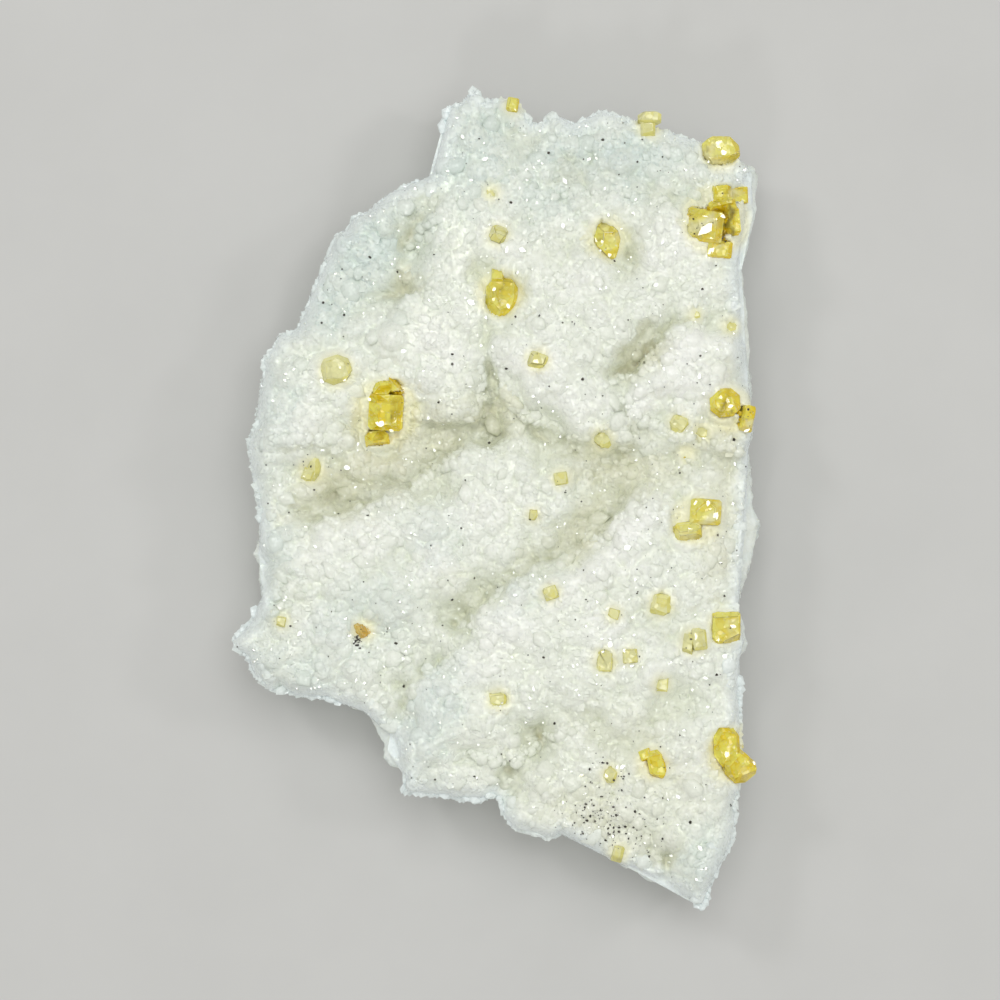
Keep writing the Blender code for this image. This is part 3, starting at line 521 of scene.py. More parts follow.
BEAD_LAYERS = [         # (spacing, least radius, greatest radius, squash, seed)
    (2.9, 1.0, 2.3, 0.85, 11), (1.7, 0.7, 1.35, 0.9, 12), (1.1, 0.5, 0.8, 0.9, 13)]
BETWEEN_BEADS = -0.3        # the level of the skin where no bead stands
BEADS_DOWN = 0.35           # how far the beads are set into the hummocks
SWELL = 0.2                 # height of the slow swell under the beads


def knobbly(x, y):
    """The highest of the bead layers over a slow swell, and the own number of the bead
    that shows."""
    highest, milk = np.full(np.shape(x), BETWEEN_BEADS), np.full(np.shape(x), 0.5)
    for layer in BEAD_LAYERS:
        height, own = bead_layer(x, y, *layer)
        milk = np.where(height > highest, own, milk)
        highest = np.maximum(highest, height)
    return highest + SWELL * wandering(x, y, 9.0, 14) - BEADS_DOWN, milk


map_crust = relief + knobbly(map_x, map_y)[0]
print("the beads stand up to", round(float((map_crust - relief).max()), 2), "mm high")

# %% What lies below its surroundings
def below_mean(values, wide, fine):
    """How far the finely blurred relief lies below the widely blurred one."""
    return blurred(values, wide) - blurred(values, fine)


hollowness = np.clip((below_mean(map_crust, 3.0, 0.6) - 0.9) / 2.2, 0.0, 1.0)
fine_depth = (blurred(map_crust, 0.9) - map_crust) / 0.7
middle_depth = below_mean(relief, 2.2, 0.3)
broad_depth = below_mean(relief, 7.0, 1.5) / 2.2
# painted shade: grey where the crust lies below its surroundings, more so in creases and valleys
painted_depth_shade_map = np.clip(0.3 + 0.12 * fine_depth + 0.6 * middle_depth + 0.6 * broad_depth, 0.0, 1.0)
valley = np.clip(broad_depth, 0.0, 1.0)
print("share of the map that is hollow:", round(float((hollowness > 0.3).mean()), 3))

# %% [markdown]
# ## Rounding over the edge
#
# Near an edge that isn't broken the crust bends down and hangs over the side, like icing:
# a quarter circle. Where the slab is broken the quarter circle is small and the edge stays
# sharp.

# %% The height of the crust anywhere
LIP_LEVEL = 12.4            # where the crust rounds over the edge
BREAK_LEVEL = 14.0          # the sharp edge where the crust is broken off
FULL_BREAK = 1.5            # an edge with this much broken side is quite sharp
LIP_WIDTH, SHARP_WIDTH = 2.6, 0.8   # width of the rounding at a lip and at a sharp edge


def crust_top(x, y):
    """The crust's height in millimetres, rounded over at the edge by a quarter circle."""
    inset, at_break = crust_inset(x, y)
    sharp = np.clip(at_break / FULL_BREAK, 0.0, 1.0)
    width = LIP_WIDTH - (LIP_WIDTH - SHARP_WIDTH) * sharp
    edge = LIP_LEVEL + (BREAK_LEVEL - LIP_LEVEL) * sharp
    turn = 1.0 - np.clip(inset / width, 0.0, 1.0)
    return edge + (read_map(relief, x, y) + knobbly(x, y)[0] - edge) * np.sqrt(1.0 - turn ** 2)


print("height at the middle:", round(float(crust_top(np.zeros(1), np.zeros(1))[0]), 2), "mm")

# %% [markdown]
# ## Where the barite crystals stand
#
# Barite blocks seldom have all their corners: small slanting faces cut them off. So each
# solid is copied, and a few planes cut its corners. The faces then say exactly where the
# crystal is: seen from above, each triangle covers some places, and its plane gives their
# height. The ground is shaped after these tops, and no grain grows inside a crystal.

# %% Crystals with their corners cut
CUT_LEAST, CUT_MOST = 0.05, 0.10    # how deep a corner is cut, as a share of the crystal
CUT_RISE = (0.25, 1.1)              # how steeply the cutting planes face upward
MANY_FACES = 8                      # a crystal with more faces gets a fourth cut
FLAT_ANGLE = math.radians(1.5)      # faces that meet flatter than this are one face


def cut_crystal(name, rng):
    """The solid's own faces, as a bmesh, with three or four corners cut by planes."""
    work = bmesh.new()
    work.from_mesh(frame["nodes"][name].data)
    bmesh.ops.remove_doubles(work, verts=work.verts, dist=0.001 * MM)
    bmesh.ops.dissolve_limit(work, angle_limit=FLAT_ANGLE, verts=work.verts, edges=work.edges)
    bmesh.ops.recalc_face_normals(work, faces=work.faces)
    for _ in range(3 + int(len(work.faces) > MANY_FACES)):
        bearing, rise = rng.uniform(0.0, 2.0 * math.pi), rng.uniform(*CUT_RISE)
        normal = Vector((math.cos(bearing), math.sin(bearing), rise)).normalized()
        reach = [v.co.dot(normal) for v in work.verts]
        level = max(reach) - rng.uniform(CUT_LEAST, CUT_MOST) * (max(reach) - min(reach))
        parts = work.verts[:] + work.edges[:] + work.faces[:]
        split = bmesh.ops.bisect_plane(
            work, geom=parts, plane_co=normal * level, plane_no=normal, clear_outer=True)
        rims = [part for part in split["geom_cut"] if isinstance(part, bmesh.types.BMEdge)]
        bmesh.ops.holes_fill(work, edges=rims, sides=0)
    return work


def corners_of(work):
    """The triangles of a bmesh as an array: (triangles, 3 corners, 3), in millimetres."""
    loops = work.calc_loop_triangles()
    return np.array([[loop.vert.co[:] for loop in triangle] for triangle in loops]) / MM


rng = np.random.default_rng(41)
cut_crystals = {name: cut_crystal(name, rng) for name in barite_nodes}
crystal_corners = {name: corners_of(work) for name, work in cut_crystals.items()}
print("triangles of the cut crystals:", sum(len(c) for c in crystal_corners.values()))

# %% Tops of the crystals
STEEP_AREA = 1e-6           # a triangle that covers less than this from above is upright


def crystal_top(x, y):
    """The crystals' top over each place in millimetres, and minus infinity where there
    is no crystal.

    Formula: a place in the triangle a, b, c is a + s * (b - a) + t * (c - a), with s and
    t from 0 up and at most 1 together, and its height has the same s and t.
    """
    top = np.full(len(x), -np.inf)
    for corners in crystal_corners.values():
        low, high = corners.min(axis=(0, 1)), corners.max(axis=(0, 1))
        near = np.flatnonzero((x > low[0]) & (x < high[0]) & (y > low[1]) & (y < high[1]))
        a, ab, ac = corners[:, 0], corners[:, 1] - corners[:, 0], corners[:, 2] - corners[:, 0]
        area = ab[:, 0] * ac[:, 1] - ac[:, 0] * ab[:, 1]
        level = np.abs(area) > STEEP_AREA
        a, ab, ac, area = a[level], ab[level], ac[level], area[level]
        dx, dy = x[near, None] - a[:, 0], y[near, None] - a[:, 1]
        s = (dx * ac[:, 1] - ac[:, 0] * dy) / area
        t = (ab[:, 0] * dy - dx * ab[:, 1]) / area
        covered = (s >= 0.0) & (t >= 0.0) & (s + t <= 1.0)
        z = np.where(covered, a[:, 2] + s * ab[:, 2] + t * ac[:, 2], -np.inf)
        top[near] = np.maximum(top[near], z.max(axis=1))
    return top


def tops_round(x, y, reach, first=0.0):
    """The crystals' tops at eight places round each place, a reach away from it."""
    return np.array([crystal_top(x + reach * math.cos(turn), y + reach * math.sin(turn))
                     for turn in (np.arange(8) + first) * math.pi / 4.0])


boxes = np.array([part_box(name) for name in barite_nodes]) / MM
barite_middles = boxes.mean(axis=1)
barite_reach = (boxes[:, 1] - boxes[:, 0])[:, :2].max(axis=1) / 2.0
print("largest crystal group:", round(2.0 * barite_reach.max(), 1), "mm across")

# %% [markdown]
# ## Meshes from whole arrays
#
# Every new piece is worked out as arrays of points and faces. foreach_set hands a whole
# array to Blender in one call, far quicker than adding points one by one. What a material
# needs later, such as how stained a place is, goes along as named attributes.

# %% A mesh from arrays
def add_values(mesh, values, domain="POINT"):
    """Gives a mesh named values at its points or faces."""
    for key, value in values.items():
        data = mesh.attributes.new(key, "FLOAT", domain).data
        data.foreach_set("value", value.astype(np.float32))


def add_object(name, data):
    """Puts a mesh, light or camera into the scene as an object."""
    obj = bpy.data.objects.new(name, data)
    bpy.context.scene.collection.objects.link(obj)
    return obj


def piece_from_arrays(name, points, face_sets, values, smooth):
    """A new object from points in millimetres, arrays of three- or four-cornered faces,
    and named values at the points."""
    mesh = bpy.data.meshes.new(name)
    mesh.vertices.add(len(points))
    mesh.vertices.foreach_set("co", (points * MM).astype(np.float32).ravel())
    sizes = np.concatenate([np.full(len(f), f.shape[1]) for f in face_sets])
    corners = np.concatenate([f.ravel() for f in face_sets])
    mesh.loops.add(len(corners))
    mesh.loops.foreach_set("vertex_index", corners.astype(np.int32))
    mesh.polygons.add(len(sizes))
    starts = np.concatenate([[0], np.cumsum(sizes)[:-1]])
    mesh.polygons.foreach_set("loop_start", starts.astype(np.int32))
    mesh.update(calc_edges=True)
    mesh.validate()
    if smooth:
        mesh.shade_smooth()
    else:
        mesh.shade_flat()
    add_values(mesh, values)
    print(name, "has", len(points), "points and", int((sizes - 2).sum()), "triangles")
    return add_object(name, mesh)


# %% [markdown]
# ## Patches of stain, clearness, milk and shade
#
# Milky quartz isn't one white. It is stained olive in patches, grey-green where its crystals
# are coarse and clear, whitest on the swells and bluish along the edge. Shade is painted in
# as well: grey below the surroundings, brown in the hollows, olive in the valleys and dim in
# the shade of the surroundings, and a painted golden glow lies round the barite. Each of
# these is a number from 0 to 1 at every point, and the material turns them into colour.

# %% Patches of the crust: (east, north, half length, half width, turn in degrees, strength)
CLEAR_PATCHES = [       # bluish, clearer quartz
    (-4, 48, 9, 7, 70, 0.9), (13.6, 46.5, 14, 5, 0, 1), (6, 41, 5, 4, 0, 0.6),
    (-17.5, 34, 9, 7, 45, 1), (-24, 26, 6, 5, 0, 0.9), (-31, 12, 9, 4, 80, 0.6),
    (-32, -10, 12, 4, 90, 0.7), (27.5, -49, 6, 5, 60, 0.7), (-10, -30, 9, 4.5, 70, 0.8),
    (34, 30, 12, 2, 90, 0.8), (-19, -16, 9, 6, 30, 0.5), (-27, -23, 7, 3, -15, 0.6),
    (-9, -5, 5, 4, 0, 0.4), (3, -12, 6, 3, 40, 0.4), (29, 41, 5, 4, 0, 0.7),
]
STAIN_PATCHES = [       # olive, stained quartz
    (-20, 3, 10, 3.5, 25, 1), (-10, 8.5, 7, 3, 25, 1), (-2, 11.5, 5, 2.5, -10, 0.9),
    (15.5, 4.5, 7, 3.5, -20, 0.8), (11, -4, 7, 2.2, 50, 0.8), (4, -8, 5, 2, 45, 0.5),
    (31, 8, 8, 4, 90, 0.9), (30, -4, 8, 4, 90, 0.8), (-18, 8, 4, 3, 0, 0.6),
    (14, -43, 9, 5, -25, 0.7), (22, -47, 4, 3, 60, 0.6), (20, -36, 12, 7, -40, 0.4),
    (-30, -14, 3, 5, 0, 0.3), (-12.5, 29.5, 2.2, 1.4, 0, 0.8), (-13, 36, 3, 1.6, 70, 0.5),
    (19, 20, 4, 2, 40, 1), (10, 45.5, 2, 2, 0, 0.4), (-6.5, -11, 3, 2, 0, 0.3),
    (-2.5, -13, 4, 2, 30, 0.3), (21, 4, 5, 3, 0, 0.6), (-27, -1, 3, 2, 0, 0.7),
    (-13, -27, 4, 1, 60, 0.4),
]
SHADE_PATCHES = [       # places in the shade of their surroundings
    (-14.1, 5.2, 0.8, 0.5, 60, 0.6), (-15.5, 2.3, 1, 0.5, 10, 0.5), (-9.6, 13, 0.6, 0.6, 0, 0.4),
    (-6.2, 8.4, 1.6, 0.8, -50, 0.4), (-12.5, 35.5, 2.2, 1.6, 60, 0.8),
    (-13.2, 28.4, 3, 1.6, 20, 0.9), (-16, 3, 6, 3, 20, 0.6), (-4, 10.5, 5, 1.8, -10, 0.7),
    (-21.5, 2, 4, 1.8, 25, 0.7), (12, 44.5, 4, 2.4, 0, 0.5), (3.4, 47, 2, 2, 0, 0.3),
    (16, 4, 3.5, 2.2, -40, 0.6), (12, -2.5, 3, 1.4, 60, 0.6), (7, -7.5, 4, 1.4, 50, 0.5),
    (2, -11.5, 5, 1.2, 40, 0.5), (14, 3.5, 4, 1.6, -30, 0.4), (5, -32.5, 1.6, 2, 0, 0.7),
    (1.2, -36.5, 1.6, 1.6, 0, 0.8), (28, 10, 4, 2, 70, 0.4), (21, -47.5, 3, 2, 60, 0.5),
    (20, -34, 5, 3, -40, 0.2), (-16, -9, 5, 1.5, 40, 0.2), (19.6, 20.2, 3.2, 2, 46, 0.9),
    (17.8, 33.2, 2.6, 1.4, -45, 0.5), (-2, 22, 1, 4, 0, 0.4),
]
MILKY_PATCHES = [       # the whitest swells
    (24.5, 19.5, 5, 3.5, 40, 1), (22.5, 14.5, 6, 3, 30, 0.9), (28, 15, 3, 3, 0, 0.7),
    (16.5, -5, 5.5, 3.5, 50, 1), (10.5, -11, 6, 3.5, 40, 0.8), (0, -17, 6, 4, 45, 0.8),
    (-7, -25, 6, 4, 60, 0.9), (-11, -31, 5, 3, 70, 0.9), (3.5, 18, 4.5, 4, 0, 0.8),
    (9, 13, 5, 3, -20, 0.6), (-17, -4, 5, 3, 0, 0.6), (-10, -7, 5, 3.5, 0, 0.7),
    (-2.5, -1.5, 5, 3, 0, 0.6), (-25, -7, 5, 3, 0, 0.5), (25, 35, 4, 4, 0, 0.6),
    (21, 33, 3, 2, 0, 0.5), (-8, 20, 4, 4, 0, 0.6), (-28, 10, 4, 3, 0, 0.5), (10, 29, 5, 3, 0, 0.5),
    (14, -17, 5, 4, 0, 0.5), (24, -22, 4, 3, 0, 0.4), (25, -37, 4, 3, 0, 0.4),
    (-24, -17, 5, 3, 0, 0.5), (1, 35, 4, 3, 0, 0.4),
]
PATCH_WAVES = [(1.3, 8.0, 17)]
PATCH_EDGE = 1.3            # 1 is a plain bell; more gives a firmer edge


def patches(x, y, table):
    """The strongest patch at each place, each a bell of its own two half widths, with
    its edge pushed in and out by a slow wave."""
    x, y = (x, y) + aside(x, y, PATCH_WAVES)
    strongest = np.zeros(np.shape(x))
    for *oval, strength in table:
        along, across = in_oval(x, y, *oval)
        bell = strength * np.exp(-(along ** 2 + across ** 2) ** PATCH_EDGE)
        strongest = np.maximum(strongest, bell)
    return strongest


for kind in (CLEAR_PATCHES, STAIN_PATCHES, SHADE_PATCHES, MILKY_PATCHES):
    strength = float(patches(map_x, map_y, kind).mean())
    print("patches:", len(kind), "mean strength on the map:", round(strength, 3))

# %% Values for the quartz material
CHILL_WIDTH = 2.5           # the bluish band along the edge
# a painted golden glow of light through the crystals lies in this band
GOLD_WIDTH = 1.6            # the golden band round a crystal
GOLD_START = 0.85           # where that band starts, as a share of the crystal's reach


def quartz_values(x, y):
    """depth below the surroundings, painted as grey shade; hollow_shade_warmth, painted brown
    shade in hollows; gold, a painted glow close to barite; chill at the edge;
    stain_and_valley_shade, stain in patches with painted shade in valleys; and clear, milky
    and shade in their patches."""
    to_barite = np.hypot(x[:, None] - barite_middles[:, 0], y[:, None] - barite_middles[:, 1])
    # painted golden glow of light coming through the barite, close to each crystal
    gold = np.clip(1.0 - (to_barite - GOLD_START * barite_reach) / GOLD_WIDTH, 0.0, 1.0)
    low = read_map(valley, x, y)
    # olive stain in its patches, with painted shade in the valleys (low) added
    stain_and_valley_shade = 0.2 * low + patches(x, y, STAIN_PATCHES) * (0.75 + 0.25 * low)
    # painted shade: brown in the hollows, with a warm tint
    hollow_shade_warmth = 0.25 * read_map(hollowness, x, y) + sunken(x, y) / 3.6 - 0.2
    crease = np.clip(0.5 + 0.7 * read_map(fine_depth, x, y), 0.1, 1.2)
    shade = patches(x, y, SHADE_PATCHES) + 0.6 * read_map(ledge_shade, x, y)
    return {
        # painted shade: grey where the crust lies below its surroundings
        "depth": read_map(painted_depth_shade_map, x, y),
        "hollow_shade_warmth": np.clip(hollow_shade_warmth, 0.0, 0.9),
        "gold": gold.max(axis=1) ** 2,
        "chill": np.clip(1.0 - crust_inset(x, y)[0] / CHILL_WIDTH, 0.0, 1.0),
        "clear": patches(x, y, CLEAR_PATCHES),
        "stain_and_valley_shade": np.clip(stain_and_valley_shade, 0.0, 1.0),
        "milky": patches(x, y, MILKY_PATCHES),
        "shade": np.clip(shade * crease, 0.0, 1.0),
    }


print("values of a place:", list(quartz_values(np.zeros(1), np.zeros(1))))

# %% [markdown]
# ## The slab
#
# The slab is one closed skin. Its top has to follow the ragged outline with cells of even
# size, or knobs would look fine in one place and coarse in another. A fan of spokes would
# crowd at the centre, so the nested squares of a square grid are stretched to nested copies
# of the outline: a cell's square says how far out it is, and its place along that square
# says which point of the outline it heads for.

# %% The grid of the top
HEART = (3.0, -2.0)         # the point that every side of the slab faces away from
GRID_EAST, GRID_NORTH = 108, 172    # cells from the middle of the top to its edges
# how far round the square ring its corners are, and how far round the outline they go:
# southeast, northeast, northwest, southwest, southeast
GRID_CORNERS = [0.0, 0.25, 0.5, 0.75, 1.0]
OUTLINE_SHARES = [0.462, 0.133, -0.075, -0.282, -0.538]


def outline_at(share):
    """East, north and break of the point at that share of the way round the outline."""
    walked = (share % 1.0) * perimeter
    return [np.interp(walked, run_ends, ring[:, k]) for k in range(3)]


column, row = [g.ravel() for g in np.meshgrid(
    np.arange(-GRID_EAST, GRID_EAST + 1), np.arange(-GRID_NORTH, GRID_NORTH + 1))]
east, north = column / GRID_EAST, row / GRID_NORTH
share_out = np.maximum(np.abs(east), np.abs(north))
on_east = (east == share_out) & (north > -share_out)
on_north = (north == share_out) & ~on_east
on_west = (east == -share_out) & ~on_north & ~on_east
walk = np.select([on_east, on_north, on_west],
                 [share_out + north, 3.0 * share_out - east, 5.0 * share_out - north],
                 7.0 * share_out + east)
ring_share = walk / np.maximum(8.0 * share_out, 1e-9)
print("points of the grid:", len(ring_share))

# %% The grid stretched to the outline
toward_x, toward_y, toward_break = outline_at(np.interp(ring_share, GRID_CORNERS, OUTLINE_SHARES))
out_x, out_y = toward_x - HEART[0], toward_y - HEART[1]
out_length = np.hypot(out_x, out_y)
out_x, out_y = out_x / out_length, out_y / out_length
broken = np.clip(toward_break, 0.0, None)
top_x = HEART[0] + share_out * (toward_x - HEART[0] - broken * out_x)
top_y = HEART[1] + share_out * (toward_y - HEART[1] - broken * out_y)
print("the top spans", round(float(np.ptp(top_x)), 1), "x", round(float(np.ptp(top_y)), 1), "mm")

# %% [markdown]
# ## White quartz round and inside the crystals
#
# The barite grew over the quartz, so its blocks have knobbly white quartz in their feet.
# That makes them shine: light goes in at the top, meets white quartz a little below, and
# comes back golden. So the top climbs a crystal's sides as a low collar and runs on inside
# it, but stays below the crystal's own upper faces.

# %% Height of the top
CLEAR_SKIN = 0.2            # clear barite over the quartz close to a crystal's edge
CLEAR_DEPTH = 1.9           # more of it in the crystal's middle
COLLAR = 1.2                # how far quartz has climbed up a crystal's side at the most
COLLAR_DOWN = 0.3           # how far it stays below the crystal's top
INSIDE_CLIMB = 4.0          # how much further it stands inside the crystal
LOOK_ROUND = (0.35, 0.7, 1.1)       # how far round a place is looked for crystals
top_z = crust_top(top_x, top_y)
rim = share_out == 1.0
tops = {reach: tops_round(top_x, top_y, reach, reach) for reach in LOOK_ROUND}
inner = sum(np.isfinite(t).mean(axis=0) for t in tops.values()) / len(tops)
closest = np.isfinite(tops[LOOK_ROUND[0]]).mean(axis=0)
collar = np.max([t.max(axis=0) - COLLAR_DOWN - reach for reach, t in tops.items()], axis=0)
climbed = ~rim & np.isfinite(collar)
allowed = COLLAR + INSIDE_CLIMB * np.clip(5.0 * (inner[climbed] - 0.6), 0.0, 1.0)
climb = np.minimum(collar[climbed], top_z[climbed] + allowed)
top_z[climbed] = np.maximum(top_z[climbed], climb)
over = crystal_top(top_x, top_y)
under = np.isfinite(over) & ~rim
below_face = over[under] - CLEAR_SKIN - CLEAR_DEPTH * inner[under] ** 2
inward = np.clip((inner[under] - 0.5) / 0.3, 0.0, 1.0) * closest[under] ** 4
top_z[under] += np.minimum(below_face - top_z[under], 0.0) * inward
print("points of the top under crystals:", int(under.sum()), "and climbing:", int(climbed.sum()))

# %% [markdown]
# ## The broken sides and the back
#
# A vein of quartz snaps into shallow scoops with ridges between them, bulging and dipping
# in over blocks of a centimetre or so. The side is a profile of six levels carried round
# the outline, like the solid's, with rows between them. A scoop is deepest at a point of a
# jittered lattice, and the ridges run where two points are equally far.

# %% Unevenness and scoops
SIDE_ROUGHNESS = 1.8        # how far the break dips in between its blocks
SIDE_BLOCK = 16.0           # length of its waves
LARGE_SCOOP, SMALL_SCOOP = 1.5, 0.7     # how deep the scoops of the two sizes cut in
RIDGE = 0.7                 # squared distance in cells at which a scoop turns to a ridge


def unevenness(x, y, z):
    """A smooth unevenness from -1 to 1: three crossed waves, each bent by another."""
    k = 2.0 * math.pi / SIDE_BLOCK
    east = np.sin(k * (0.9 * x + 0.44 * z) + 1.7 * np.sin(k * 0.61 * y + 0.9))
    north = np.sin(k * (0.8 * y - 0.35 * x) + 1.5 * np.sin(k * 0.53 * z + 2.1))
    upward = np.sin(k * (1.1 * z + 0.3 * y) + 1.4 * np.sin(k * 0.47 * x + 4.0))
    return (east + north + upward) / 3.0


def scoops(u, v, spacing, seed):
    """Distance to the nearest jittered lattice point, in cells: 0 in the middle of a
    scoop and about 0.7 on the ridge between two."""
    cells = np.random.default_rng(seed).random((2, LATTICE, LATTICE))
    u, v = u / spacing + LATTICE / 4, v / spacing + LATTICE / 4
    return np.min([np.hypot(column + east - u, row + north - v)
                   for column, row, (east, north) in cells_round(u, v, cells)], axis=0)


# %% Profile of the side, from the rim down to the back
SIDE_LEVEL = 7.5            # where the broken side stands out furthest
LEDGE_LEVEL, LEDGE_DRAW = 4.2, 0.9  # a ledge round the lower side, and how far it lies in
FOOT_LEVEL, FOOT_DRAW = 1.5, 1.9    # where the side turns in to the flat back
BACK_DRAW = 3.9
SIDE_ROWS = 17
BACK_ROWS = 4
rim_index = np.flatnonzero(rim)
rim_index = rim_index[np.argsort(walk[rim_index])]
rim_x, rim_y = toward_x[rim_index], toward_y[rim_index]
out_x, out_y, broken = out_x[rim_index], out_y[rim_index], broken[rim_index]
hung = np.clip(-toward_break[rim_index], 0.0, None)
sharp = np.clip(broken / FULL_BREAK, 0.0, 1.0)
rim_level = LIP_LEVEL + (BREAK_LEVEL - LIP_LEVEL) * sharp
PROFILE = [     # (draw in from the outline, level, roughness of the draw and of the level)
    (broken, rim_level, 0.0, 0.0),
    (0.15 * broken + 0.6 * hung, rim_level - 1.3 - 2.0 * (1.0 - sharp), 0.3, 0.7),
    (hung + 0.3 * (1.0 - sharp), SIDE_LEVEL, 0.8, 1.8),
    (hung + LEDGE_DRAW, LEDGE_LEVEL, 1.0, 1.5),
    (hung + FOOT_DRAW, FOOT_LEVEL, 1.0, 0.9),
    (hung + BACK_DRAW, 0.0, 1.0, 0.0),
]
level_rows = []
for draw, level, rough_draw, rough_level in PROFILE:
    block = unevenness(rim_x, rim_y, 1.7 * level)
    slip = unevenness(rim_x + 31.0, rim_y + 7.0, level)
    dip = rough_draw * SIDE_ROUGHNESS * np.clip(block + 0.1, 0.0, None)
    level_rows.append((draw + dip, level + 0.5 * rough_level * slip))
level_rows = np.array(level_rows)
print("columns of the side:", len(rim_x))

# %% Rows of the side with their scoops, and rows of the back
down = np.linspace(0.0, len(PROFILE) - 1.0, SIDE_ROWS + 1)[1:]
first = np.minimum(down.astype(int), len(PROFILE) - 2)
part = (down - first)[:, None, None]
side_rows = level_rows[first] * (1.0 - part) + level_rows[first + 1] * part
side_draw, side_z = side_rows[:, 0], side_rows[:, 1]
walked = np.tile(ring_share[rim_index] * perimeter, (SIDE_ROWS, 1))
large_scoops = LARGE_SCOOP * (RIDGE - scoops(walked, side_z * 1.3, 3.4, 21) ** 2)
small_scoops = SMALL_SCOOP * (RIDGE - scoops(walked, side_z * 1.1, 1.3, 22) ** 2)
ends = np.sin(np.pi * (np.arange(SIDE_ROWS) + 1.0) / (SIDE_ROWS + 0.5))[:, None] ** 0.5
side_draw = side_draw + ends * (large_scoops + small_scoops)
side_x = rim_x - out_x * side_draw
side_y = rim_y - out_y * side_draw
side_z[-1] = 0.0

share_in = (np.arange(1, BACK_ROWS + 1) / (BACK_ROWS + 1.0))[:, None]
back_x = side_x[-1] * (1.0 - share_in) + HEART[0] * share_in
back_y = side_y[-1] * (1.0 - share_in) + HEART[1] * share_in
back_z = 0.5 * np.clip(0.45 - scoops(back_x, back_y, 7.0, 23), 0.0, None)
print("side rows from", round(float(side_z.min()), 2), "to", round(float(side_z.max()), 2),
      "mm, deepest chip in the back:", round(float(back_z.max()), 2), "mm")

# %% One closed skin
slab_points = np.vstack(
    [np.column_stack([part.ravel() for part in parts]) for parts in (
        (top_x, top_y, top_z), (side_x, side_y, side_z), (back_x, back_y, back_z))]
    + [[[HEART[0], HEART[1], 0.0]]])
slab_points[rim_index, 2] = rim_level

wide = 2 * GRID_EAST + 1
corner = (np.arange(2 * GRID_NORTH)[:, None] * wide + np.arange(wide - 1)).ravel()
top_faces = np.column_stack([corner, corner + 1, corner + wide + 1, corner + wide])
around = len(rim_index)
below_rim = np.arange(around * (SIDE_ROWS + BACK_ROWS)).reshape(-1, around) + len(top_x)
skirt = np.vstack([rim_index, below_rim])
beside = np.roll(skirt, -1, axis=1)
side_faces = np.stack([skirt[:-1], skirt[1:], beside[1:], beside[:-1]], axis=-1).reshape(-1, 4)
pole = np.full(around, len(slab_points) - 1)
pole_faces = np.column_stack([skirt[-1], pole, beside[-1]])
print("faces of the top, sides and pole:", len(top_faces), len(side_faces), len(pole_faces))

# %% Values of the slab: the crust's, then the sides', then the white quartz in crystals
slab_x, slab_y, slab_z = slab_points.T
slab_values = quartz_values(slab_x, slab_y)
slab_values["milk"] = knobbly(slab_x, slab_y)[1]
side_stain = wandering(slab_x + slab_y, slab_z * 2.0, 14.0, 24)
side_milk = wandering(slab_x - slab_y, slab_z * 2.0, 5.0, 25)
WELL_INSIDE = 0.7           # share of the places looked at round a point that are covered
ON_SIDES = {
    "hollow_shade_warmth": 0.0, "gold": 0.0, "shade": 0.0, "depth": 0.3, "chill": 0.5, "milk": 0.5,
    "stain_and_valley_shade": 0.5 * np.clip(side_stain, 0.0, 1.0),
    "clear": np.clip(0.35 + 0.5 * side_milk, 0.0, 1.0),
    "milky": np.clip(0.3 - 0.5 * side_milk, 0.0, 1.0),
}
IN_CRYSTALS = {
    "hollow_shade_warmth": 0.0, "gold": 0.0, "shade": 0.0, "depth": 0.0, "milk": 1.0, "stain_and_valley_shade": 0.0,
    "clear": 0.0, "milky": 1.0,
}
beneath = np.arange(len(slab_points)) >= len(top_x)
for key, value in ON_SIDES.items():
    slab_values[key] = np.where(beneath, value, slab_values[key])
for key, value in IN_CRYSTALS.items():
    slab_values[key][:len(top_x)][under & (inner > WELL_INSIDE)] = value
druse_ground = piece_from_arrays(
    "druse_ground", slab_points, [top_faces, side_faces, pole_faces], slab_values, smooth=True)
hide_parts("matrix")

# %% [markdown]
# ## Heads of quartz
#
# A quartz crystal is a six-sided prism that ends in six sloping faces, and most of those in
# a druse show only their heads: rounded like beads where they grew fast and milky, sharp
# where they are smaller and later. Both are a stack of six-sided rings with a tip, four
# rings for a bead and two for a sharp head. Thousands are made as one array, each with its
# own numbers. Instances would be lighter, but real meshes keep their shape when exported.

# %% Rings of a head: (radius, level), from its foot up
SHARP_RINGS = np.array([(0.92, -0.75), (1.0, 0.22)])
BEAD_RINGS = np.array([(0.88, -0.7), (1.03, -0.1), (0.93, 0.36), (0.52, 0.80)])
SIXTHS = np.arange(6) * math.pi / 3.0
CORNER_SIZE = (0.78, 1.15)  # each corner's own distance from the axis
LENGTHENED = 0.3            # how much longer than wide a head may be, seen from its tip
EVERY_SECOND = 0.16         # how much lower every second corner may be
UNEVEN = 0.07
TIP_ASIDE = 0.2


def unit(vectors):
    """Each vector made one long."""
    return vectors / np.linalg.norm(vectors, axis=1, keepdims=True)


def head_triangles(ring_count):
    """Triangles of one head: two between each pair of neighbours on two rings, six to the
    tip, and four under the foot."""
    i = np.arange(6)
    beside = (i + 1) % 6
    made = []
    for low in range(0, 6 * (ring_count - 1), 6):
        made += [np.column_stack([low + i, low + beside, low + 6 + beside]),
                 np.column_stack([low + i, low + 6 + beside, low + 6 + i])]
    last = 6 * (ring_count - 1)
    made.append(np.column_stack([last + i, last + beside, np.full(6, last + 6)]))
    made.append(np.array([(0, k + 1, k) for k in range(1, 5)]))
    return np.vstack(made)


def six_round(axes, helper, angle):
    """Two directions square to each axis, and the directions of six corners round it:
    cos a * side + sin a * other."""
    side = unit(np.cross(axes, helper))
    other = np.cross(axes, side)
    angle = SIXTHS + angle[:, None]
    out = np.cos(angle)[..., None] * side[:, None] + np.sin(angle)[..., None] * other[:, None]
    return side, other, out


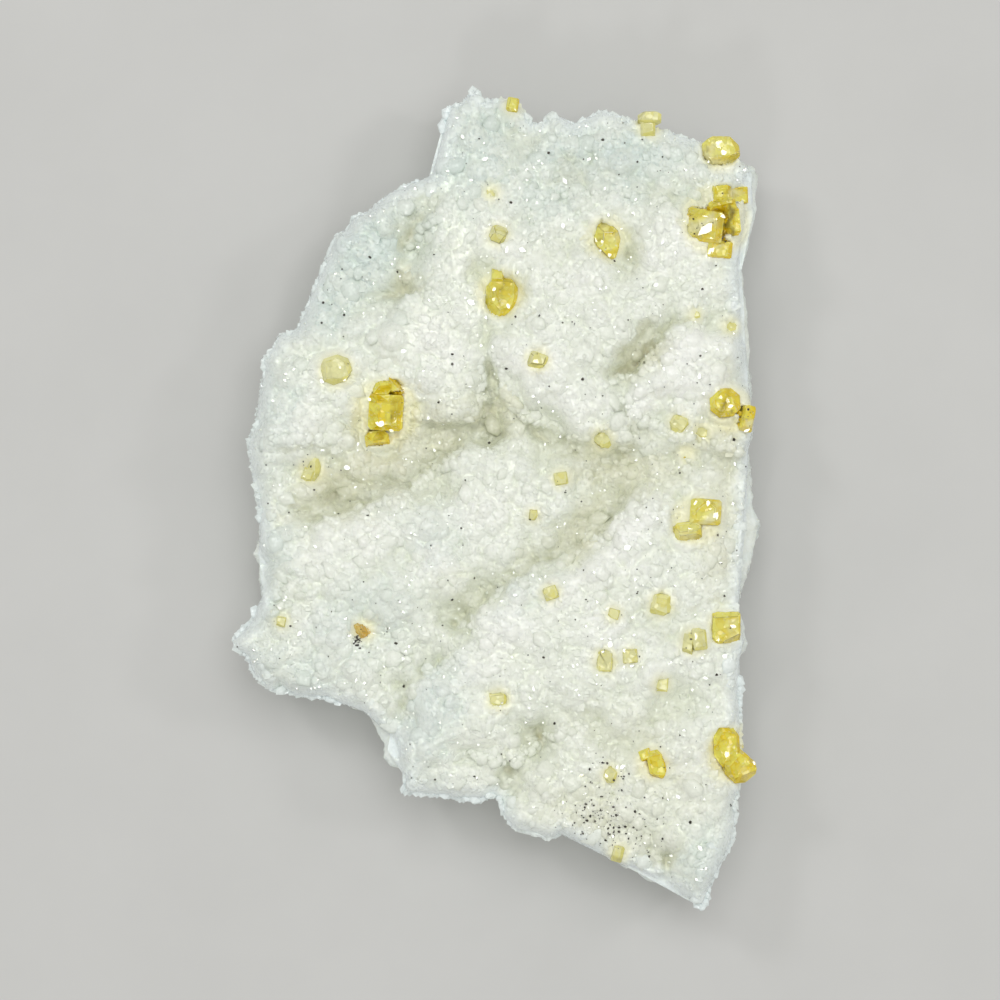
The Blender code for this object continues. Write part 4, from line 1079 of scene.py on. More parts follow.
def heads_of_quartz(rings, middles, axes, widths, heights, rng):
    """Points of many quartz heads: (heads, 6 for each ring and 1 for the tip, 3).

    Formula: a point of a ring is middle + width * radius * (direction of the corner)
    + height * level * axis. Above the foot every second corner is set lower, as quartz
    has it.
    """
    count = len(middles)
    helper = np.where(np.abs(axes[:, 2:3]) < 0.9, [[0.0, 0.0, 1.0]], [[1.0, 0.0, 0.0]])
    side, other, out = six_round(axes, helper, rng.uniform(0.0, 2.0 * math.pi, count))
    corner_size = rng.uniform(*CORNER_SIZE, (count, 6))
    lengthened = rng.uniform(0.0, LENGTHENED, (count, 1))
    corner_size = corner_size * (1.0 + lengthened * np.cos(2.0 * SIXTHS))
    up_or_down = np.where(np.arange(6) % 2 == 0, 1.0, -1.0)
    uneven = up_or_down * rng.uniform(0.0, EVERY_SECOND, (count, 1))
    uneven = uneven + rng.uniform(-UNEVEN, UNEVEN, (count, 6))
    stack = []
    for radius, level in rings:
        rise = (level + (uneven if level > 0.0 else 0.0)) * heights[:, None] + np.zeros((count, 6))
        stack.append(out * (radius * corner_size * widths[:, None])[..., None]
                     + axes[:, None] * rise[..., None])
    shift = rng.uniform(-TIP_ASIDE, TIP_ASIDE, (count, 2)) * widths[:, None]
    tip = shift[:, :1] * side + shift[:, 1:] * other + axes * heights[:, None]
    return middles[:, None] + np.concatenate(stack + [tip[:, None]], axis=1)


def heads_piece(name, rings, middles, axes, width, height, values, rng):
    """One mesh of many heads, smooth where they have more than two rings."""
    points = heads_of_quartz(rings, middles, axes, width, height, rng)
    per_head = points.shape[1]
    faces = (np.arange(len(middles)) * per_head)[:, None, None] + head_triangles(len(rings))
    values = {**values, "milk": rng.random(len(middles))}
    values = {key: np.repeat(value, per_head) for key, value in values.items()}
    made = piece_from_arrays(
        name, points.reshape(-1, 3), [faces.reshape(-1, 3)], values, smooth=len(rings) > 2)
    return made


# %% [markdown]
# ## Where grains grow
#
# Grains placed purely by chance would leave bald patches and heaps. A six-sided lattice
# with every place pushed aside by chance covers the crust evenly and still shows no rows.

# %% Places for grains
JITTER = 0.36               # how far a grain is pushed aside, as a share of the spacing
REACH_EAST, REACH_NORTH = 42, 60    # the lattice covers the slab this far from its middle


def grain_places(spacing, seed, margin):
    """A jittered six-sided lattice on the crust, further in than the margin, and not
    under a crystal."""
    rng = np.random.default_rng(seed)
    row_step = spacing * math.sqrt(3.0) / 2.0
    rows = np.arange(-int(REACH_NORTH / row_step), int(REACH_NORTH / row_step) + 1)
    columns = np.arange(-int(REACH_EAST / spacing), int(REACH_EAST / spacing) + 1)
    column, row = [g.ravel() for g in np.meshgrid(columns, rows)]
    push_x = rng.uniform(-JITTER, JITTER, len(row)) * spacing
    push_y = rng.uniform(-JITTER, JITTER, len(row)) * spacing
    x, y = (column + 0.5 * (row % 2)) * spacing + push_x, row * row_step + push_y
    kept = on_crust(x, y, margin)
    x, y = x[kept], y[kept]
    free = ~np.isfinite(crystal_top(x, y))
    return x[free], y[free], rng


def clear_of_barite(x, y, margin):
    """Whether no crystal covers any of the eight places a margin away."""
    return ~np.isfinite(tops_round(x, y, margin)).any(axis=0)


def crust_facing(x, y):
    """The crust's height, and the direction that it faces: square to its two slopes."""
    reach = 0.3
    slope_x = (crust_top(x + reach, y) - crust_top(x - reach, y)) / (2.0 * reach)
    slope_y = (crust_top(x, y + reach) - crust_top(x, y - reach)) / (2.0 * reach)
    return crust_top(x, y), unit(np.column_stack([-slope_x, -slope_y, np.ones(len(x))]))


def leaned(axes, lean, rng):
    """Axes leaned aside by chance."""
    return axes + rng.normal(0.0, lean, (len(axes), 3))


def size_of(rng, count, low, high):
    """Sizes from low to high, most of them small: the square of chance."""
    return low + (high - low) * rng.random(count) ** 2


# %% Beads of milky quartz, and two sizes of sharp heads between them
LEAST_UPRIGHT = 0.12        # no axis lies flatter than this
HEAD_PIECES = [             # (rings, spacing, seed, margin, least and greatest size,
    #                          least and greatest height in sizes, lean, sink in heights)
    ("quartz_beads", BEAD_RINGS, 2.3, 31, 0.6, 0.6, 1.7, 0.5, 0.7, 0.12, 0.82),
    ("quartz_small_beads", SHARP_RINGS, 1.1, 34, 0.3, 0.35, 0.9, 0.45, 0.7, 0.15, 0.77),
    ("quartz_fine_heads", SHARP_RINGS, 0.95, 35, 0.2, 0.18, 0.4, 0.7, 1.0, 0.25, 0.68),
]


def grow_heads(name, rings, spacing, seed, margin, least, most, low, high, lean, sink):
    """Heads all over the crust, each pointing the way the crust faces, leaned aside by
    chance, and sunk by a share of its height."""
    x, y, rng = grain_places(spacing, seed, margin)
    width = size_of(rng, len(x), least, most)
    height = width * rng.uniform(low, high, len(x))
    free = clear_of_barite(x, y, 0.75 * width)
    x, y, width, height = x[free], y[free], width[free], height[free]
    z, axes = crust_facing(x, y)
    axes = leaned(axes, lean, rng)
    axes[:, 2] = np.maximum(axes[:, 2], LEAST_UPRIGHT)
    axes = unit(axes)
    middles = np.column_stack([x, y, z]) - axes * (sink * height)[:, None]
    return heads_piece(name, rings, middles, axes, width, height, quartz_values(x, y), rng)


grains = [grow_heads(*row) for row in HEAD_PIECES]

# %% [markdown]
# ## Heads along the rim and the ledges
#
# Where the crust hangs over the side, its heads show in outline as a row of beads, and
# others line the high side of every ledge. They are the same heads, leaned outward.

# %% Heads round the rim
UNBROKEN = 0.5              # up to this much broken side, the edge still carries heads
RIM_RISE = 0.3              # how far over the lip the row of heads is centred
RIM_SPREAD = 1.4            # and how far up and down it spreads with the heads' slopes
LEAN = 0.25


def grow_rim(name, step, seed, low, high):
    """Quartz heads along the unbroken rim, pointing outward and somewhat up or down."""
    rng = np.random.default_rng(seed)
    count = int(perimeter / step)
    shares = (np.arange(count) + rng.uniform(-0.4, 0.4, count)) / count
    east, north, edge_break = outline_at(shares)
    rim_places = np.column_stack([east, north])[edge_break < UNBROKEN]
    count = len(rim_places)
    outward = unit(rim_places - HEART)
    size = size_of(rng, count, low, high)
    height = size * rng.uniform(0.9, 1.4, count)
    slope = rng.uniform(-0.5, 0.9, count)
    axes = unit(leaned(np.column_stack([outward, slope]), LEAN, rng))
    behind = rim_places - outward * (0.25 + 0.45 * height)[:, None]
    middles = np.column_stack([behind, LIP_LEVEL + RIM_RISE + RIM_SPREAD * slope])
    values = quartz_values(*behind.T)
    # the heads on the rim get half the painted depth shade
    values["depth"] = 0.5 * values["depth"]
    return heads_piece(name, SHARP_RINGS, middles, axes, size, height, values, rng)


grains.append(grow_rim("quartz_rim", 0.35, 33, 0.35, 0.95))

# %% Heads along the ledges
def grow_ledges(name, step, seed, low, high):
    """Quartz heads on the high side of every ledge, leaning over its low side."""
    rng = np.random.default_rng(seed)
    places, outward = [], []
    for _, _, corners in LEDGES:
        corners = np.array(corners)
        before = along_path(corners)[1]
        count = int(before[-1] / step)
        walked = (np.arange(count) + rng.uniform(0.1, 0.9, count)) * before[-1] / count
        places.append(np.column_stack([np.interp(walked, before, corners[:, k]) for k in (0, 1)]))
        part = np.clip(np.searchsorted(before, walked) - 1, 0, len(corners) - 2)
        along = (np.diff(corners, axis=0) / np.diff(before)[:, None])[part]
        outward.append(np.column_stack([-along[:, 1], along[:, 0]]))
    places, outward = np.vstack(places), np.vstack(outward)
    places = places - aside(*places.T, LEDGE_WAVES).T
    size = size_of(rng, len(places), low, high)
    behind = places - outward * (0.35 + 0.5 * size)[:, None]
    free = inside_outline(*behind.T)
    free[free] &= clear_of_barite(*behind[free].T, 0.75 * size[free])
    outward, size, behind = outward[free], size[free], behind[free]
    height = size * rng.uniform(0.7, 1.0, len(size))
    axes = unit(leaned(np.column_stack([0.75 * outward, np.ones(len(size))]), LEAN, rng))
    middles = np.column_stack([behind, crust_top(*behind.T)])
    middles -= axes * (rng.uniform(0.45, 0.75, len(size)) * height)[:, None]
    values = quartz_values(*behind.T)
    # the heads on the ledges get less painted depth shade and no painted shade
    values["depth"], values["shade"] = 0.3 * values["depth"], np.zeros(len(size))
    return heads_piece(name, BEAD_RINGS, middles, axes, size, height, values, rng)


grains.append(grow_ledges("quartz_ledges", 0.45, 37, 0.45, 1.0))

# %% [markdown]
# ## Small barite between the large blocks
#
# Where two blocks stand close together, the gap between them is closed by small crystals,
# set a little lower than the blocks' tops. They have the shape of sharp heads.

# %% Barite in the gaps: (east, north, size)
GAP_CRYSTALS = [
    (-13.5, 14.55, 0.5), (-14.2, 14.5, 0.45), (28.3, 39.1, 0.6), (30.4, 37.6, 0.5),
    (30.3, 36.4, 0.55), (30.4, 34.9, 0.6), (32.4, 11.0, 0.45), (32.3, 10.2, 0.4), (32.2, 11.7, 0.4),
]
rng = np.random.default_rng(38)
gap_x, gap_y, gap_size = np.array(GAP_CRYSTALS).T
gap_top = tops_round(gap_x, gap_y, 0.5).max(axis=0)
gap_axes = unit(leaned(np.array([[0.0, 0.0, 1.0]] * len(gap_x)), 0.12, rng))
gap_height = 1.0 + gap_size
gap_middles = np.column_stack([gap_x, gap_y, gap_top - 0.3 - gap_height])
gap_crystals = heads_piece("barite_in_gaps", SHARP_RINGS, gap_middles, gap_axes, gap_size,
                           gap_height, {}, rng)

# %% [markdown]
# ## Faces that glint
#
# Here and there a clear face lies just so that it mirrors a lamp. Chance would hardly ever
# turn a face so exactly, so these are set: each is square to the line halfway between the
# lamp and the eye. The larger ones, on the quartz and on the barite, have their own places,
# and many small ones are scattered over the quartz.

# %% The lamps, the eye and the larger glints
EYE = (0.0, 0.0, 0.8)       # metres, straight above
SOFT_BOXES = [              # (name, bearing, elevation, distance, size, brightness)
    ("soft_box_northwest", -50.0, 52.0, 0.9, 0.13, 13.8),
    ("soft_box_east", 75.0, 45.0, 0.9, 0.12, 11.0),
    ("soft_box_south", -165.0, 50.0, 0.9, 0.12, 11.0)]
SMALL_GLINTS = 650
# the larger ones on the quartz, and then those on the barite: (east, north, size, lamp)
LARGE_GLINTS = [       # (east, north, size, lamp)
    (17.1, -6.4, 0.5, 0), (-3.9, 26.6, 0.55, 0), (1, 33.7, 0.45, 1), (3, 33.7, 0.4, 0),
    (-18.8, 8.4, 0.5, 0), (-20.7, 4.4, 0.4, 1), (26.8, 16.6, 0.35, 0), (33.5, 9.4, 0.4, 0),
    (14.8, -19.4, 0.45, 2), (16.5, -36, 0.35, 0), (17.6, -22.2, 0.35, 0), (30.3, -21, 0.35, 1),
    (27.7, -24, 0.3, 2), (8.8, 43, 0.4, 0), (8.5, 37, 0.35, 0), (-13, 20, 0.35, 2),
    (-24, 16, 0.35, 0), (21, 29, 0.35, 1), (-27, -18, 0.3, 0), (-2, 46, 0.35, 0), (-5, 49, 0.3, 1),
    (12, 46, 0.3, 2), (24, -40, 0.35, 0), (27, -47, 0.4, 1),
]
BARITE_GLINTS = [       # the same, on the crystals
    (27.6, 36.4, 0.9, 0), (29.9, 38.2, 0.4, 1), (28.4, 33.5, 0.5, 2), (30.2, 46.9, 0.4, 0),
    (-16.1, 10.3, 0.55, 0), (-14.6, 9.4, 0.3, 1), (-17.6, 13.6, 0.3, 0), (26.4, -0.4, 0.35, 1),
    (28, -0.4, 0.35, 0), (29, -2.2, 0.5, 2), (31, 12.6, 0.35, 0), (33.3, 9.5, 0.4, 0),
    (14.8, 33.2, 0.35, 1), (16.8, 34.5, 0.3, 0), (13.8, 34.8, 0.25, 2), (-0.8, 28.4, 0.3, 1),
    (1.1, 26.2, 0.35, 0), (34.2, -35.5, 0.35, 0), (32.8, -33.5, 0.3, 2), (31.4, -17, 0.35, 1),
    (-20.9, 16.2, 0.25, 0), (11, -37, 0.3, 0),
]
print("larger glints:", len(LARGE_GLINTS), "and", len(BARITE_GLINTS))


def lamp_place(bearing, elevation, distance):
    """Where a lamp hangs, in metres, from its bearing, elevation and distance."""
    a, e = math.radians(bearing), math.radians(elevation)
    return distance * np.array([math.sin(a) * math.cos(e), math.cos(a) * math.cos(e), math.sin(e)])


# %% The glinting faces
GLINT_TURN = 0.02           # how inexactly a face is set
GLINT_PRISM = 12            # points of one prism: six round its face and six at its foot


def glint_faces(name, x, y, z, size, lamp, rng):
    """Flat six-sided prisms whose faces mirror a lamp to the eye.

    Formula: the face's direction is the sum of the unit lines to the lamp and to the
    eye, made one long again.
    """
    middles = np.column_stack([x, y, z])
    lamps = np.array([lamp_place(*box[1:4]) for box in SOFT_BOXES])[lamp] / MM
    axes = unit(lamps - middles) + unit(np.array(EYE) / MM - middles)
    axes = unit(leaned(axes, GLINT_TURN, rng))
    _, _, out = six_round(axes, np.array([0.0, 1.0, 0.0]), rng.uniform(0.0, math.pi, len(x)))
    corner_size = rng.uniform(0.75, 1.15, (len(x), 6)) * (1.0 + 0.3 * np.cos(2.0 * SIXTHS))
    spread = out * (size[:, None] * corner_size)[..., None]
    foot = 0.8 * spread - axes[:, None] * (0.3 + 1.2 * size)[:, None, None]
    points = middles[:, None] + np.concatenate([spread, foot], axis=1)
    face = np.arange(6)
    beside = (face + 1) % 6
    start = (np.arange(len(x)) * GLINT_PRISM)[:, None]
    walls = np.column_stack([6 + face, 6 + beside, beside, face])
    faces = [start + face, start + 6 + face[::-1], (start[..., None] + walls).reshape(-1, 4)]
    values = {key: np.repeat(value, GLINT_PRISM) for key, value in quartz_values(x, y).items()}
    made = piece_from_arrays(name, points.reshape(-1, 3), faces, values, smooth=False)
    return made


def anywhere(rng, count):
    """Places anywhere over the slab's box."""
    return rng.uniform((-37.0, -56.0), (37.0, 56.0), (count, 2)).T


rng = np.random.default_rng(36)
x, y = anywhere(rng, 3 * SMALL_GLINTS)
kept = np.flatnonzero(on_crust(x, y, 0.6))[:SMALL_GLINTS]
large_x, large_y, large_size, large_lamp = np.array(LARGE_GLINTS).T
size = np.concatenate([large_size, size_of(rng, len(kept), 0.08, 0.24)])
lamp = np.concatenate([large_lamp.astype(int), rng.integers(0, len(SOFT_BOXES), len(kept))])
x, y = np.concatenate([large_x, x[kept]]), np.concatenate([large_y, y[kept]])
z = crust_top(x, y) + 0.2 + 0.35 * size
glints = glint_faces("quartz_glints", x, y, z, size, lamp, rng)

x, y, size, lamp = np.array(BARITE_GLINTS).T
z = np.maximum(crystal_top(x, y), crust_top(x, y)) + 0.1 * size
barite_glints = glint_faces(
    "barite_glints", x, y, z, size, lamp.astype(int), rng)

# %% [markdown]
# ## Shader effects that several materials use
#
# Three effects come back in several materials, so each is a node group made once: a slow
# mottle between two colours, frosting that makes a face matt in patches, and small tilted
# facets, as on a surface of many crystals. The shader itself stays in the material.

# %% Helpers for nodes
def feed(tree, target, values):
    """Feeds a node's inputs, by name or by number, from sockets or with plain values."""
    for key, value in values.items():
        if isinstance(value, bpy.types.NodeSocket):
            tree.links.new(value, target.inputs[key])
        else:
            target.inputs[key].default_value = value


def node(tree, kind, values, **settings):
    """Adds a node, sets its options and feeds its inputs."""
    made = tree.nodes.new("ShaderNode" + kind)
    for key, value in settings.items():
        setattr(made, key, value)
    feed(tree, made, values)
    return made


def calc(tree, operation, *given, kind="Math", output=0):
    """A number worked out from one, two or three others by one node."""
    return node(tree, kind, dict(enumerate(given)), operation=operation).outputs[output]


def times(tree, value, factor):
    """One number times another."""
    return calc(tree, "MULTIPLY", value, factor)


def vector(tree, operation, *given):
    """A vector worked out from others."""
    return calc(tree, operation, *given, kind="VectorMath")


def ramp(tree, value, low, high, start=0.0, end=1.0):
    """A value stretched so that low becomes the start and high the end, and kept
    between them."""
    made = node(tree, "MapRange", {0: value, 1: low, 2: high, 3: start, 4: end})
    return made.outputs["Result"]


def blend(tree, share, low, high):
    """A colour between two colours."""
    return node(tree, "Mix", {0: share, 6: low, 7: high}, data_type="RGBA").outputs[2]


def object_place(tree):
    """The place on the object, which the patterns follow."""
    return node(tree, "TexCoord", {}).outputs["Object"]


def new_group(name, inputs, outputs):
    """An empty node group with named sockets: inputs are (name, kind, value)."""
    group = bpy.data.node_groups.new(name, "ShaderNodeTree")
    for socket_name, kind, value in inputs:
        socket = group.interface.new_socket(socket_name, in_out="INPUT", socket_type="NodeSocket" + kind)
        socket.default_value = value
    for socket_name, kind in outputs:
        group.interface.new_socket(socket_name, in_out="OUTPUT", socket_type="NodeSocket" + kind)
    return group, group.nodes.new("NodeGroupInput").outputs, group.nodes.new("NodeGroupOutput")


# %% Mottle, frost and tilted facets
def make_mottle():
    """Mottle: noise picks a colour between the light and the dark."""
    group, given, result = new_group(
        "mineral_mottle",
        [("Light", "Color", (1, 1, 1, 1)), ("Dark", "Color", (0.5, 0.5, 0.5, 1)),
         ("Scale", "Float", 300.0), ("Amount", "Float", 0.5)],
        [("Color", "Color")])
    noise = node(group, "TexNoise", {
        0: object_place(group), "Scale": given["Scale"], "Detail": 4.0, "Roughness": 0.6})
    share = times(group, ramp(group, noise.outputs["Fac"], 0.38, 0.66), given["Amount"])
    feed(group, result, {"Color": blend(group, share, given["Light"], given["Dark"])})
    return group


def make_frost():
    """Frost: a mask of the patches of noise where a face is matt."""
    group, given, result = new_group(
        "crystal_frost", [("Scale", "Float", 600.0), ("Cover", "Float", 0.5)], [("Mask", "Float")])
    noise = node(group, "TexNoise", {
        0: object_place(group), "Scale": given["Scale"], "Detail": 5.0, "Roughness": 0.65})
    edge = calc(group, "SUBTRACT", 0.75, given["Cover"])
    over = calc(group, "SUBTRACT", noise.outputs["Fac"], edge)
    feed(group, result, {"Mask": ramp(group, over, 0.2, 0.32)})
    return group


def make_facets():
    """Tilted facets: every cell is a small plane that leans its own way.

    Formula: height = (place - middle of the cell) dot (the cell's random colour - 0.5),
    so the slope of a cell is that colour less a half, whatever the cell's size.
    """
    group, given, result = new_group(
        "tilted_facets", [("Scale", "Float", 1000.0)], [("Height", "Float"), ("Shade", "Float")])
    place = object_place(group)
    cells = node(group, "TexVoronoi", {"Vector": place, "Scale": given["Scale"]}).outputs
    away = vector(group, "SUBTRACT", place, cells["Position"])
    lean = vector(group, "SUBTRACT", cells["Color"], (0.5, 0.5, 0.5))
    height = calc(group, "DOT_PRODUCT", away, lean, kind="VectorMath", output="Value")
    shade = node(group, "SeparateColor", {"Color": cells["Color"]}).outputs["Blue"]
    feed(group, result, {"Height": height, "Shade": shade})
    return group


mottle_group, frost_group, facet_group = make_mottle(), make_frost(), make_facets()
print("node groups:", [group.name for group in bpy.data.node_groups])


# %% Helpers for materials
def new_material(name):
    """A material, its node tree, and its Principled shader."""
    material = bpy.data.materials.new(name)
    material.use_nodes = True
    return material, material.node_tree, material.node_tree.nodes["Principled BSDF"]


def from_group(tree, group, **values):
    """A node group placed in a material with its own values: its outputs."""
    made = node(tree, "Group", {}, node_tree=group)
    feed(tree, made, values)
    return made.outputs


def attribute(tree, name):
    """The value of a named attribute of the points or faces."""
    return node(tree, "Attribute", {}, attribute_name=name).outputs["Fac"]


def facet_bump(tree, shader, scales, strengths, evened):
    """Feeds the shader's Normal from two sizes of tilted facets, drawn toward straight up
    by the evened share, and returns the two sizes' shades."""
    large, small = [from_group(tree, facet_group, Scale=scale) for scale in scales]
    height = calc(tree, "MULTIPLY_ADD", large["Height"], strengths[0],
                  times(tree, small["Height"], strengths[1]))
    bump = node(tree, "Bump", {"Strength": 1.0, "Distance": 1.0, "Height": height})
    kept = node(tree, "VectorMath", {0: bump.outputs["Normal"], "Scale": 1.0 - evened},
                operation="SCALE").outputs["Vector"]
    mean = vector(tree, "ADD", kept, (0.0, 0.0, evened))
    feed(tree, shader, {"Normal": vector(tree, "NORMALIZE", mean)})
    return large["Shade"], small["Shade"]


# %% [markdown]
# ## Milky quartz
#
# Milky quartz is white because tiny bubbles scatter light inside it. On the ground that is
# subsurface scattering; the heads are so small that a plain white does as well in less
# time. The values of the points are mixed into the colour, and some facets are smooth
# enough to glint while the rest are satin.

# %% The quartz materials
QUARTZ_IOR, BARITE_IOR = 1.54, 1.64
SNOW_WHITE = (0.98, 0.995, 0.94, 1.0)
MILK_WHITE = (0.915, 0.945, 0.86, 1.0)
MILK_GREY = (0.855, 0.90, 0.79, 1.0)
# painted shade, grey where the crust lies below its surroundings
DEPTH_SHADE_GREY = (0.79, 0.83, 0.71, 1.0)
CLEAR_BLUE = (0.70, 0.79, 0.745, 1.0)
# olive of stain, and of painted shade in the valleys
VALLEY_OLIVE = (0.76, 0.76, 0.57, 1.0)
SHADE_GREY = (0.62, 0.64, 0.49, 1.0)
# painted shade in the hollows, brown with a warm tint
HOLLOW_SHADE_BROWN = (0.68, 0.63, 0.42, 1.0)
# painted golden glow of light that comes through the barite
GOLDEN_GLOW_TINT = (0.95, 0.92, 0.60, 1.0)
EDGE_BLUE = (0.88, 0.95, 0.95, 1.0)


def make_quartz(name, smooth, satin, glow, evened):
    """Milky quartz. A facet's own shade spreads its roughness from smooth to satin, and
    the glow is the share of light that scatters under the surface."""
    material, tree, shader = new_material(name)
    mottle = from_group(tree, mottle_group, Light=MILK_WHITE, Dark=MILK_GREY, Scale=420.0, Amount=0.6)
    milk = attribute(tree, "milk")
    uneven = ramp(tree, milk, 0.0, 1.0, 1.15, 0.7)
    # besides the quartz's own tones, these layers paint shade below the surroundings, in the hollows,
    # valleys and creases, and a golden glow round the barite
    layers = [(times(tree, ramp(tree, milk, 0.75, 0.2), 0.5), MILK_GREY),
              (attribute(tree, "milky"), SNOW_WHITE), (attribute(tree, "depth"), DEPTH_SHADE_GREY)]
    for value, tint in (("clear", CLEAR_BLUE), ("stain_and_valley_shade", VALLEY_OLIVE), ("shade", SHADE_GREY)):
        share = node(tree, "Math", {0: attribute(tree, value), 1: uneven},
                     operation="MULTIPLY", use_clamp=True)
        layers.append((share.outputs[0], tint))
    layers += [(attribute(tree, "hollow_shade_warmth"), HOLLOW_SHADE_BROWN), (attribute(tree, "chill"), EDGE_BLUE),
               (times(tree, attribute(tree, "gold"), 0.6), GOLDEN_GLOW_TINT)]
    color = mottle["Color"]
    for share, tint in layers:
        color = blend(tree, share, color, tint)
    _, shade = facet_bump(tree, shader, (1100.0, 2300.0), (0.25, 0.25), evened)
    shader.subsurface_method = "BURLEY"
    feed(tree, shader, {
        "Base Color": color, "Roughness": ramp(tree, shade, 0.3, 1.0, smooth, satin),
        "IOR": QUARTZ_IOR, "Subsurface Weight": glow, "Subsurface Radius": (1.0, 1.0, 0.8),
        "Subsurface Scale": 0.00025})
    return material


druse_ground.data.materials.append(make_quartz("milky_quartz_ground", 0.12, 0.5, 1.0, 0.15))
quartz_heads = make_quartz("milky_quartz_heads", 0.08, 0.5, 0.0, 0.25)
for piece in grains:
    piece.data.materials.append(quartz_heads)
print("nodes of the quartz material:", len(quartz_heads.node_tree.nodes))

# %% The clear faces that glint
glint_quartz, tree, shader = new_material("clear_quartz_faces")
color = blend(tree, attribute(tree, "shade"), MILK_WHITE, DEPTH_SHADE_GREY)
feed(tree, shader, {"Base Color": color, "Roughness": 0.04, "IOR": QUARTZ_IOR})
glints.data.materials.append(glint_quartz)

glint_barite, tree, shader = new_material("bright_barite_faces")
feed(tree, shader, {"Base Color": (1.0, 0.94, 0.50, 1.0), "Roughness": 0.1, "IOR": BARITE_IOR})
barite_glints.data.materials.append(glint_barite)
print("materials so far:", len(bpy.data.materials))

# %% [markdown]
# ## Barite crystals
#
# What makes barite look golden is light that goes in at one face, comes off the white
# quartz behind, and loses its blue on the way. So the crystal is partly see-through, with
# barite's own index of refraction and an absorption that takes blue away. The rest of the
# light comes back from flaws inside, so a facet's colour counts too, and painted light and
# shade go into it: lemon toward the light and deep gold away from it, painted glints on a
# few fine facets, a painted line of light on some worn edges and a painted sheen in some
# pale places. Frosted, dark and deep places are tables of patches again. The shape is the
# solid's with its cut corners, growth steps on the larger faces and worn edges, because a
# perfectly sharp edge never shows a line of light.

# %% Places on the crystals: (east, north, half length, half width, turn in degrees, strength)
# pale barite, and in part a painted sheen, as on the northeast cluster's top
PALE_AND_SHEEN_PLACES = [
    (29.2, 46, 1.3, 0.9, 0, 0.8), (32.2, 41.4, 1.4, 1.1, 0, 0.9), (27.8, 36.6, 2.2, 1.1, 5, 1),
    (28.6, 33.4, 1.4, 1.2, 0, 0.6), (15, 37.6, 1.2, 0.7, 0, 0.6), (15.2, 35, 1.4, 1, -40, 0.45),
    (16, 33.2, 1.2, 0.6, 45, 0.5), (29.2, -2.6, 1.7, 1.2, 0, 0.9), (24.8, -4.2, 2, 1.4, 15, 0.6),
    (-17.6, 16, 1.6, 0.9, 0, 0.9), (-15.2, 16, 1.2, 0.9, 0, 0.8), (-17, 8.6, 1.6, 1, 0, 0.35),
    (32.8, 9.6, 0.8, 0.7, 0, 0.8), (31.4, -18, 1.2, 1, 0, 0.5), (33.6, -37, 1, 1, 0, 0.3),
    (1.8, 30.2, 1, 0.6, 40, 0.4), (23.3, 45.3, 3, 1, 0, 0.3),
]
DEEP_PLACES = [
    (28, 39, 2.4, 0.5, 20, 0.7), (13.6, 36, 0.5, 0.6, 0, 0.8), (-14, 12, 1.1, 1.8, 0, 0.9),
    (0, 29.4, 1.2, 1.5, 0, 0.5), (30.5, 11.5, 1.6, 1, 20, 0.8), (30, 13, 0.6, 1, 0, 0.6),
    (30, 41.2, 0.8, 0.8, 0, 0.5), (34, -38.6, 1.2, 1.4, 0, 0.9), (32, -32, 0.8, 2, -60, 0.4),
    (30.6, -36, 0.5, 2, 20, 0.6), (29.6, 11, 0.8, 1, 0, 0.5), (1.2, 27.4, 1, 1.2, 0, 0.5),
    (27, 35.2, 2, 0.4, 0, 0.5),
]
DARK_PLACES = [
    (31, 37.6, 0.4, 2.0, 8, 0.9), (30.2, 42.6, 0.6, 0.3, 0, 0.6), (-15.1, 12.2, 0.8, 0.3, 0, 0.7),
    (-14.5, 11.5, 0.4, 0.2, 20, 0.7), (30.3, 12.2, 0.35, 0.3, 0, 0.8),
    (32.5, 11.4, 0.35, 0.4, 0, 0.8), (13.5, 36, 0.3, 0.25, 0, 0.6),
    (-0.2, 29.5, 0.5, 0.12, 60, 0.6), (1, 28.6, 0.5, 0.12, -50, 0.6),
    (30, 46.4, 0.4, 0.15, 30, 0.5), (28.2, 46.2, 0.5, 0.15, -40, 0.5),
    (13.8, -45.6, 0.4, 0.3, 0, 0.6),
]
print("pale, deep and dark places:", len(PALE_AND_SHEEN_PLACES), len(DEEP_PLACES), len(DARK_PLACES))

# %% A crystal with growth steps, worn edges and finely cut faces
STEP_AREA = 3.0             # faces of more square millimetres than this carry a step
STEP_WIDTH = (0.07, 0.13)   # how far a step lies inside its face, as a share of its width
STEP_HEIGHT = 0.09
SHARP_ANGLE = math.radians(20.0)    # edges that bend more than this are worn
EDGE_WEAR = 0.11
# some worn edges are painted bright as a line of light, others dark
EDGE_HIGHLIGHT_SHARE, DARK_SHARE = 0.2, 0.25    # worn edges that are bright, and that are dark
LONGEST_CUT = 0.45          # edges longer than this are cut in two, five times at most
SUNNY_SIDE = np.array([-0.5, 0.35, 0.79])


